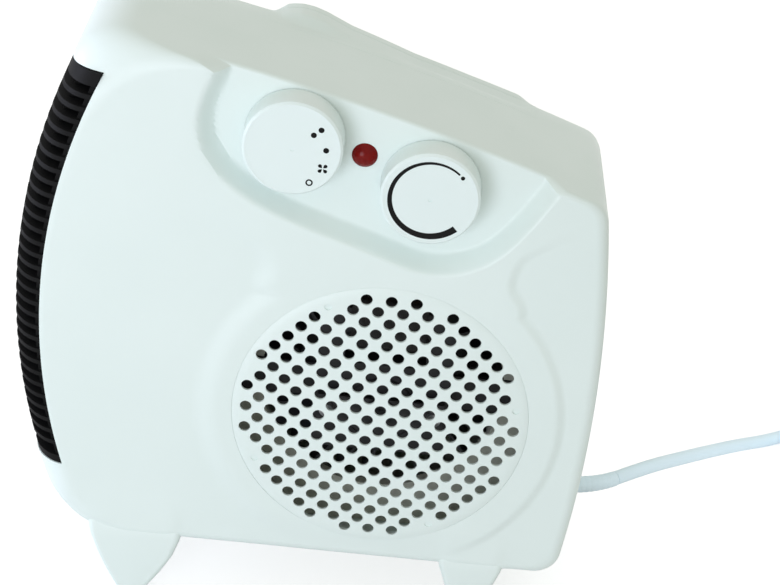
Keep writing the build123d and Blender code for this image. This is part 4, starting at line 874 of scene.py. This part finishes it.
def make_marks():
    spots = [mark_spot(selector_place, a, r) for a, r in zip(mark_angles, mark_reaches)]
    spots.append(mark_spot(selector_place, mark_angles[3], mark_reaches[4]))
    pieces = [ring_band("off_ring", *spots[0], *off_ring)]
    for k in range(fan_blades):
        turn = math.radians(45 + 360 / fan_blades * k)
        pieces.append(ink("leaf", blade_outline(*spots[1], turn)))
    pieces += [ink("dot", disc_outline(*spot, dot_radius, dot_sides)[::-1]) for spot in spots[2:]]
    selector = joined("selector_marks", pieces)
    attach(selector, "selector")
    start = mark_spot(thermostat_place, arc_angles[0] - arc_dot_angle, arc_reach)
    dot = disc_outline(*start, arc_dot_radius, dot_sides)
    pieces = [ink("arc", grown_arc()[::-1]), ink("dot", dot[::-1])]
    thermostat = joined("thermostat_marks", pieces)
    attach(thermostat, "thermostat_dial")
    return selector, thermostat


# Strain relief: neck and flange in the rear wall, then a bent, tapered boot with ribs all round.
# The neck's rows are the place behind the case's rear and the radius there.

relief_neck = (
    (-14.0, 4.6),
    (-13.6, 5.0),
    (-12.95, 5.0),
    (-12.95, 6.2),
    (-11.35, 6.2),
    (-11.35, 5.0),
    (-4.0, 5.0),
    (-3.5, 4.85),
    (-3.1, 4.5),
    (-2.7, 4.1),
)
relief_root = 4.0
relief_tip = 3.45
relief_ribs = 8
rib_cut = 0.12
rib_start = 0.16
rib_stretch = 0.76
tip_share = 0.03
tip_round = 0.5
relief_steps = 160
relief_sides = 40


def relief_profile(share):
    """Radius of the boot along its length."""
    taper = relief_root + (relief_tip - relief_root) * share
    along = (share - rib_start) / rib_stretch * relief_ribs
    cut = 0.0
    if 0 < along < relief_ribs:
        cut = rib_cut * math.sqrt(max(0.0, math.sin(2 * math.pi * along)))
    end = tip_round * max(0.0, (share - 1 + tip_share) / tip_share) ** 2
    return taper - cut - end


def relief_ring(centre, direction, radius):
    """A circle round the boot's axis."""
    side = Vector((-direction.y, direction.x, 0.0))
    ring = []
    for i in range(relief_sides):
        a = 2 * math.pi * i / relief_sides
        ring.append(centre + side * (radius * math.cos(a)) + Vector((0, 0, radius * math.sin(a))))
    return np.array(ring)


def make_relief():
    straight = Vector((1.0, 0.0, 0.0))
    rings = []
    for x, radius in relief_neck:
        rings.append(relief_ring(Vector((rear_x + x, relief_y, relief_z)), straight, radius))
    for k in range(relief_steps + 1):
        share = k / relief_steps
        rings.append(relief_ring(*relief_place(share), relief_profile(share)))
    relief = ring_mesh("strain_relief", rings)
    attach(relief, "casing")
    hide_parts("cord_bushing")
    return relief


# Materials: one shader each, with colour, gloss and grain worked out from the piece's own place.
# Noise and wave scales are in cells per metre, and bump heights in millimetres.

cloud_scale = 14.0
smudge_scale = 45.0
grain_scale = 1900.0
streak_scale = 260.0
metal_smudge_scale = 90.0
layer_smudge_scale = 120.0
streak_height = 0.01
noise_middle = (0.3, 0.7)


class Finish:
    """A procedural material that is built up in small steps."""

    def __init__(self, name, **values):
        self.material = bpy.data.materials.new(name)
        self.material.use_nodes = True
        self.tree = self.material.node_tree
        self.shader = self.tree.nodes["Principled BSDF"]
        for key, value in values.items():
            socket = self.shader.inputs[key.replace("_", " ")]
            socket.default_value = value
        self.place = self.tree.nodes.new("ShaderNodeTexCoord").outputs["Object"]

    def add(self, kind, **settings):
        node = self.tree.nodes.new(kind)
        for key, value in settings.items():
            setattr(node, key, value)
        return node

    def join(self, out, into):
        self.tree.links.new(out, into)

    def stretched(self, scale):
        """The place, scaled by its own amount along each axis."""
        node = self.add("ShaderNodeMapping")
        node.inputs["Scale"].default_value = scale
        self.join(self.place, node.inputs["Vector"])
        return node.outputs["Vector"]

    def noise(self, scale, detail=3.0, roughness=0.55, stretch=(1.0, 1.0, 1.0)):
        node = self.add("ShaderNodeTexNoise")
        node.inputs["Scale"].default_value = scale
        node.inputs["Detail"].default_value = detail
        node.inputs["Roughness"].default_value = roughness
        self.join(self.stretched(stretch), node.inputs["Vector"])
        return node.outputs["Fac"]

    def waves(self, scale, axis, distortion):
        node = self.add("ShaderNodeTexWave", bands_direction=axis)
        node.inputs["Scale"].default_value = scale
        node.inputs["Distortion"].default_value = distortion
        self.join(self.place, node.inputs["Vector"])
        return node.outputs["Fac"]

    def spread(self, value, low, high):
        """A noise value, most of it between 0.3 and 0.7, moved to low..high."""
        node = self.add("ShaderNodeMapRange")
        node.inputs["From Min"].default_value = noise_middle[0]
        node.inputs["From Max"].default_value = noise_middle[1]
        node.inputs["To Min"].default_value = low
        node.inputs["To Max"].default_value = high
        self.join(value, node.inputs["Value"])
        return node.outputs["Result"]

    def colour(self, value, first, second):
        """Base colour between two tints, by a value."""
        node = self.add("ShaderNodeMix", data_type="RGBA")
        node.inputs["A"].default_value = (*first, 1.0)
        node.inputs["B"].default_value = (*second, 1.0)
        self.join(self.spread(value, 0.0, 1.0), node.inputs["Factor"])
        self.join(node.outputs["Result"], self.shader.inputs["Base Color"])

    def gloss(self, value, low, high):
        self.join(self.spread(value, low, high), self.shader.inputs["Roughness"])

    def relief(self, value, height):
        """Bump of a height in millimetres."""
        node = self.add("ShaderNodeBump")
        node.inputs["Strength"].default_value = 1.0
        node.inputs["Distance"].default_value = height * MM
        self.join(value, node.inputs["Height"])
        self.join(node.outputs["Normal"], self.shader.inputs["Normal"])


def plastic(name, first, second, gloss=(0.36, 0.5), grain=0.012, **values):
    """Moulded plastic: cloudy tint, uneven satin gloss and a very fine grain."""
    finish = Finish(name, **values)
    finish.colour(finish.noise(cloud_scale, 2.0), first, second)
    finish.gloss(finish.noise(smudge_scale), *gloss)
    finish.relief(finish.noise(grain_scale, 2.0), grain)
    return finish.material


brush = (1.0, 1.0, 12.0)


def metal(name, first, second, gloss=(0.25, 0.42)):
    """Rolled or drawn metal with faint streaks."""
    finish = Finish(name, Metallic=1.0)
    streaks = finish.noise(streak_scale, 4.0, 0.6, brush)
    finish.colour(streaks, first, second)
    finish.gloss(finish.noise(metal_smudge_scale), *gloss)
    finish.relief(streaks, streak_height)
    return finish.material


def striped(name, first, second, axis, scale, gloss=(0.35, 0.5)):
    """Layers or turns seen edge-on."""
    finish = Finish(name)
    bands = finish.waves(scale, axis, 0.4)
    finish.colour(bands, first, second)
    finish.gloss(finish.noise(layer_smudge_scale), *gloss)
    finish.relief(bands, 0.05)
    return finish.material


def mineral(name, first, second, scale, gloss=(0.55, 0.75), height=0.03):
    """Mica board or fired ceramic: flecked and matt."""
    finish = Finish(name)
    flecks = finish.noise(scale, 6.0, 0.7)
    finish.colour(flecks, first, second)
    finish.gloss(finish.noise(scale * 0.4), *gloss)
    finish.relief(flecks, height)
    return finish.material


def lens_plastic():
    """Dark red glossy plastic."""
    finish = Finish("lens_red", Specular_IOR_Level=0.12)
    finish.colour(finish.noise(500.0, 2.0), (0.15, 0.003, 0.003), (0.2, 0.006, 0.004))
    finish.gloss(finish.noise(300.0, 2.0), 0.12, 0.2)
    finish.relief(finish.noise(900.0, 2.0), 0.006)
    return finish.material


# Each row: the finish, its two tints, then what the kind of finish takes after them

matt_black = {"gloss": (0.6, 0.75), "Specular_IOR_Level": 0.1}
plastics = (
    ("case_white", (0.775, 0.872, 0.855), (0.795, 0.888, 0.872), {}),
    ("knob_white", (0.79, 0.89, 0.885), (0.81, 0.905, 0.9), {"gloss": (0.3, 0.42)}),
    ("grille_black", (0.004, 0.004, 0.004), (0.006, 0.006, 0.006), matt_black),
    ("flex_white", (0.75, 0.88, 0.95), (0.77, 0.9, 0.97), {"gloss": (0.42, 0.55), "grain": 0.02}),
    ("plug_white", (0.84, 0.93, 0.96), (0.86, 0.95, 0.98), {"gloss": (0.36, 0.5), "grain": 0.02}),
    ("air_guide", (0.66, 0.67, 0.58), (0.7, 0.71, 0.62), {"gloss": (0.45, 0.6)}),
    ("fan_grey", (0.05, 0.052, 0.055), (0.065, 0.066, 0.07), {"gloss": (0.4, 0.55)}),
    ("switch_black", (0.02, 0.02, 0.022), (0.03, 0.03, 0.032), {}),
    ("dial_ink", (0.006, 0.006, 0.006), (0.01, 0.01, 0.01), matt_black),
    ("lamp_glass", (0.7, 0.5, 0.4), (0.75, 0.58, 0.48), {"gloss": (0.08, 0.14), "grain": 0.004}),
    ("wire_mixed", (0.5, 0.1, 0.06), (0.56, 0.14, 0.09), {"gloss": (0.35, 0.5)}),
)
metals = (
    ("pin_nickel", (0.62, 0.6, 0.56), (0.7, 0.68, 0.64), {"gloss": (0.14, 0.24)}),
    ("sheet_steel", (0.5, 0.52, 0.53), (0.62, 0.63, 0.64), {}),
    ("screw_steel", (0.45, 0.45, 0.46), (0.58, 0.58, 0.58), {"gloss": (0.3, 0.45)}),
    ("bearing_bronze", (0.42, 0.27, 0.13), (0.52, 0.35, 0.18), {}),
    ("heating_alloy", (0.3, 0.26, 0.22), (0.42, 0.35, 0.28), {"gloss": (0.4, 0.6)}),
    ("tag_brass", (0.62, 0.48, 0.22), (0.72, 0.58, 0.3), {}),
)
layers = (
    ("lamination", (0.018, 0.018, 0.02), (0.035, 0.035, 0.038), {"axis": "Y", "scale": 320.0}),
    (
        "winding",
        (0.012, 0.012, 0.013),
        (0.022, 0.02, 0.018),
        {"axis": "X", "scale": 420.0, "gloss": (0.4, 0.6)},
    ),
)
minerals = (
    ("mica_board", (0.42, 0.36, 0.26), (0.6, 0.54, 0.42), {"scale": 240.0}),
    (
        "steatite",
        (0.68, 0.64, 0.55),
        (0.76, 0.73, 0.65),
        {"scale": 600.0, "gloss": (0.4, 0.55), "height": 0.01},
    ),
)


def make_materials():
    """Every finish by its name."""
    made = {"lens_red": lens_plastic()}
    kinds = ((plastic, plastics), (metal, metals), (striped, layers), (mineral, minerals))
    for kind, rows in kinds:
        for name, first, second, rest in rows:
            made[name] = kind(name, first, second, **rest)
    return made


# Soft shading for the CAD nodes: neighbouring faces share their edge and only sharp ones show

crease_angle = 32.0
merge_distance = 0.001


def soft_shading():
    """A modifier tree that joins a mesh's faces and shades it smooth up to the crease angle."""
    tree = bpy.data.node_groups.new("soft_shading", "GeometryNodeTree")
    tree.interface.new_socket("Geometry", in_out="INPUT", socket_type="NodeSocketGeometry")
    tree.interface.new_socket("Geometry", in_out="OUTPUT", socket_type="NodeSocketGeometry")
    start = tree.nodes.new("NodeGroupInput")
    end = tree.nodes.new("NodeGroupOutput")
    merge = tree.nodes.new("GeometryNodeMergeByDistance")
    merge.inputs["Distance"].default_value = merge_distance * MM
    angle = tree.nodes.new("GeometryNodeInputMeshEdgeAngle")
    above = tree.nodes.new("FunctionNodeCompare")
    above.data_type = "FLOAT"
    above.operation = "GREATER_THAN"
    above.inputs["B"].default_value = math.radians(crease_angle)
    shade = tree.nodes.new("GeometryNodeSetMeshNormal")
    shade.inputs["Remove Custom"].default_value = True
    tree.links.new(start.outputs[0], merge.inputs["Geometry"])
    tree.links.new(merge.outputs["Geometry"], shade.inputs["Mesh"])
    tree.links.new(angle.outputs["Unsigned Angle"], above.inputs["A"])
    tree.links.new(above.outputs["Result"], shade.inputs["Edge Sharpness"])
    tree.links.new(shade.outputs["Mesh"], end.inputs[0])
    return tree


# Nodes of the motor given the dark finish of the laminations: painted shade for the dim inside
# behind the intake
painted_shade_nodes = (
    "motor_front_bracket",
    "motor_rear_bracket",
    "motor_mount",
    "motor_bearings",
    "motor_rotor",
    "fan_shaft",
)


def dress(piece, material, shading):
    """One finish and soft shading for a mesh."""
    piece.data.materials.clear()
    piece.data.materials.append(material)
    piece.modifiers.new("soft_shading", "NODES").node_group = shading


def dress_nodes(materials, shading):
    """Every CAD node gets its slot's finish, except the motor nodes, which get the dark lamination
    finish as painted shade.
    """
    slots = {row["node"]: row["material_slot"] for row in frame["record"]["subparts"]}
    for name, node in nodes.items():
        # motor nodes take the dark lamination finish: painted shade of the dim inside
        finish = "lamination" if name in painted_shade_nodes else slots[name]
        dress(node, materials[finish], shading)


# Stage: pale floor, white surroundings and plain soft light


def seen_directly(tree):
    """1 for camera, glossy and transmission rays, and 0 for the light that falls on things."""
    path = tree.nodes.new("ShaderNodeLightPath")
    first = tree.nodes.new("ShaderNodeMath")
    first.operation = "MAXIMUM"
    second = tree.nodes.new("ShaderNodeMath")
    second.operation = "MAXIMUM"
    tree.links.new(path.outputs["Is Camera Ray"], first.inputs[0])
    tree.links.new(path.outputs["Is Glossy Ray"], first.inputs[1])
    tree.links.new(first.outputs[0], second.inputs[0])
    tree.links.new(path.outputs["Is Transmission Ray"], second.inputs[1])
    return second.outputs[0]


floor_size = 8.0
floor_drop = 0.05
floor_tint = 0.62
floor_glow = 0.62
world_light = 0.665
world_tint = (1.0, 1.0, 0.915)

# Lamps: name, place, target, size, power in watts, tint and the spread in degrees
case_middle = (0.0, 0.0, 0.12)
seen_flex = (0.24, 0.07, 0.03)
lamps = (
    ("key", (-0.35, -0.9, 0.2), case_middle, 0.5, 3.65, (0.84, 0.885, 1.0), 180.0),
    ("side", (-1.1, 0.1, 0.3), case_middle, 0.6, 6.6, (0.74, 0.78, 1.0), 180.0),
    ("flex_light", (0.38, -0.2, 0.26), seen_flex, 0.16, 0.045, (0.75, 0.87, 1.0), 44.0),
)


def make_floor():
    mesh = bpy.data.meshes.new("floor")
    half = floor_size / 2
    corners = [(-half, -half, 0.0), (half, -half, 0.0), (half, half, 0.0), (-half, half, 0.0)]
    mesh.from_pydata(corners, [], [(0, 1, 2, 3)])
    floor = bpy.data.objects.new("floor", mesh)
    floor.location.z = -floor_drop * MM
    bpy.context.scene.collection.objects.link(floor)
    material = bpy.data.materials.new("floor")
    material.use_nodes = True
    tree = material.node_tree
    shader = tree.nodes["Principled BSDF"]
    shader.inputs["Base Color"].default_value = (floor_tint, floor_tint, floor_tint, 1.0)
    shader.inputs["Roughness"].default_value = 0.9
    shader.inputs["Specular IOR Level"].default_value = 0.0
    shader.inputs["Emission Color"].default_value = (1.0, 1.0, 1.0, 1.0)
    scale = tree.nodes.new("ShaderNodeMath")
    scale.operation = "MULTIPLY"
    scale.inputs[1].default_value = floor_glow
    tree.links.new(seen_directly(tree), scale.inputs[0])
    tree.links.new(scale.outputs[0], shader.inputs["Emission Strength"])
    mesh.materials.append(material)


def make_world():
    world = bpy.data.worlds.new("world")
    bpy.context.scene.world = world
    world.use_nodes = True
    tree = world.node_tree
    background = tree.nodes["Background"]
    seen = seen_directly(tree)
    strength = tree.nodes.new("ShaderNodeMapRange")
    strength.inputs["To Min"].default_value = world_light
    strength.inputs["To Max"].default_value = 1.0
    tint = tree.nodes.new("ShaderNodeMix")
    tint.data_type = "RGBA"
    tint.inputs["A"].default_value = (*world_tint, 1.0)
    tint.inputs["B"].default_value = (1.0, 1.0, 1.0, 1.0)
    tree.links.new(seen, strength.inputs["Value"])
    tree.links.new(seen, tint.inputs["Factor"])
    tree.links.new(strength.outputs["Result"], background.inputs["Strength"])
    tree.links.new(tint.outputs["Result"], background.inputs["Color"])


def make_lamp(name, place, target, size, power, tint, spread):
    data = bpy.data.lights.new(name, "AREA")
    data.shape = "DISK"
    data.size = size
    data.energy = power
    data.color = tint
    data.spread = math.radians(spread)
    lamp = bpy.data.objects.new(name, data)
    lamp.location = place
    aim = Vector(target) - Vector(place)
    lamp.rotation_mode = "QUATERNION"
    lamp.rotation_quaternion = aim.to_track_quat("-Z", "Y")
    bpy.context.scene.collection.objects.link(lamp)


def make_stage():
    make_floor()
    make_world()
    for lamp in lamps:
        make_lamp(*lamp)
    bpy.context.scene.view_settings.view_transform = "Standard"


make_camera()
make_flex()
materials = make_materials()
shading = soft_shading()
dress_nodes(materials, shading)
for piece in (make_near_shell(), make_intake_disc(), make_grip()):
    dress(piece, materials["case_white"], shading)
dress(make_relief(), materials["flex_white"], shading)
for piece in make_marks():
    dress(piece, materials["dial_ink"], shading)
bpy.data.objects["flex"].data.materials.append(materials["flex_white"])
make_stage()
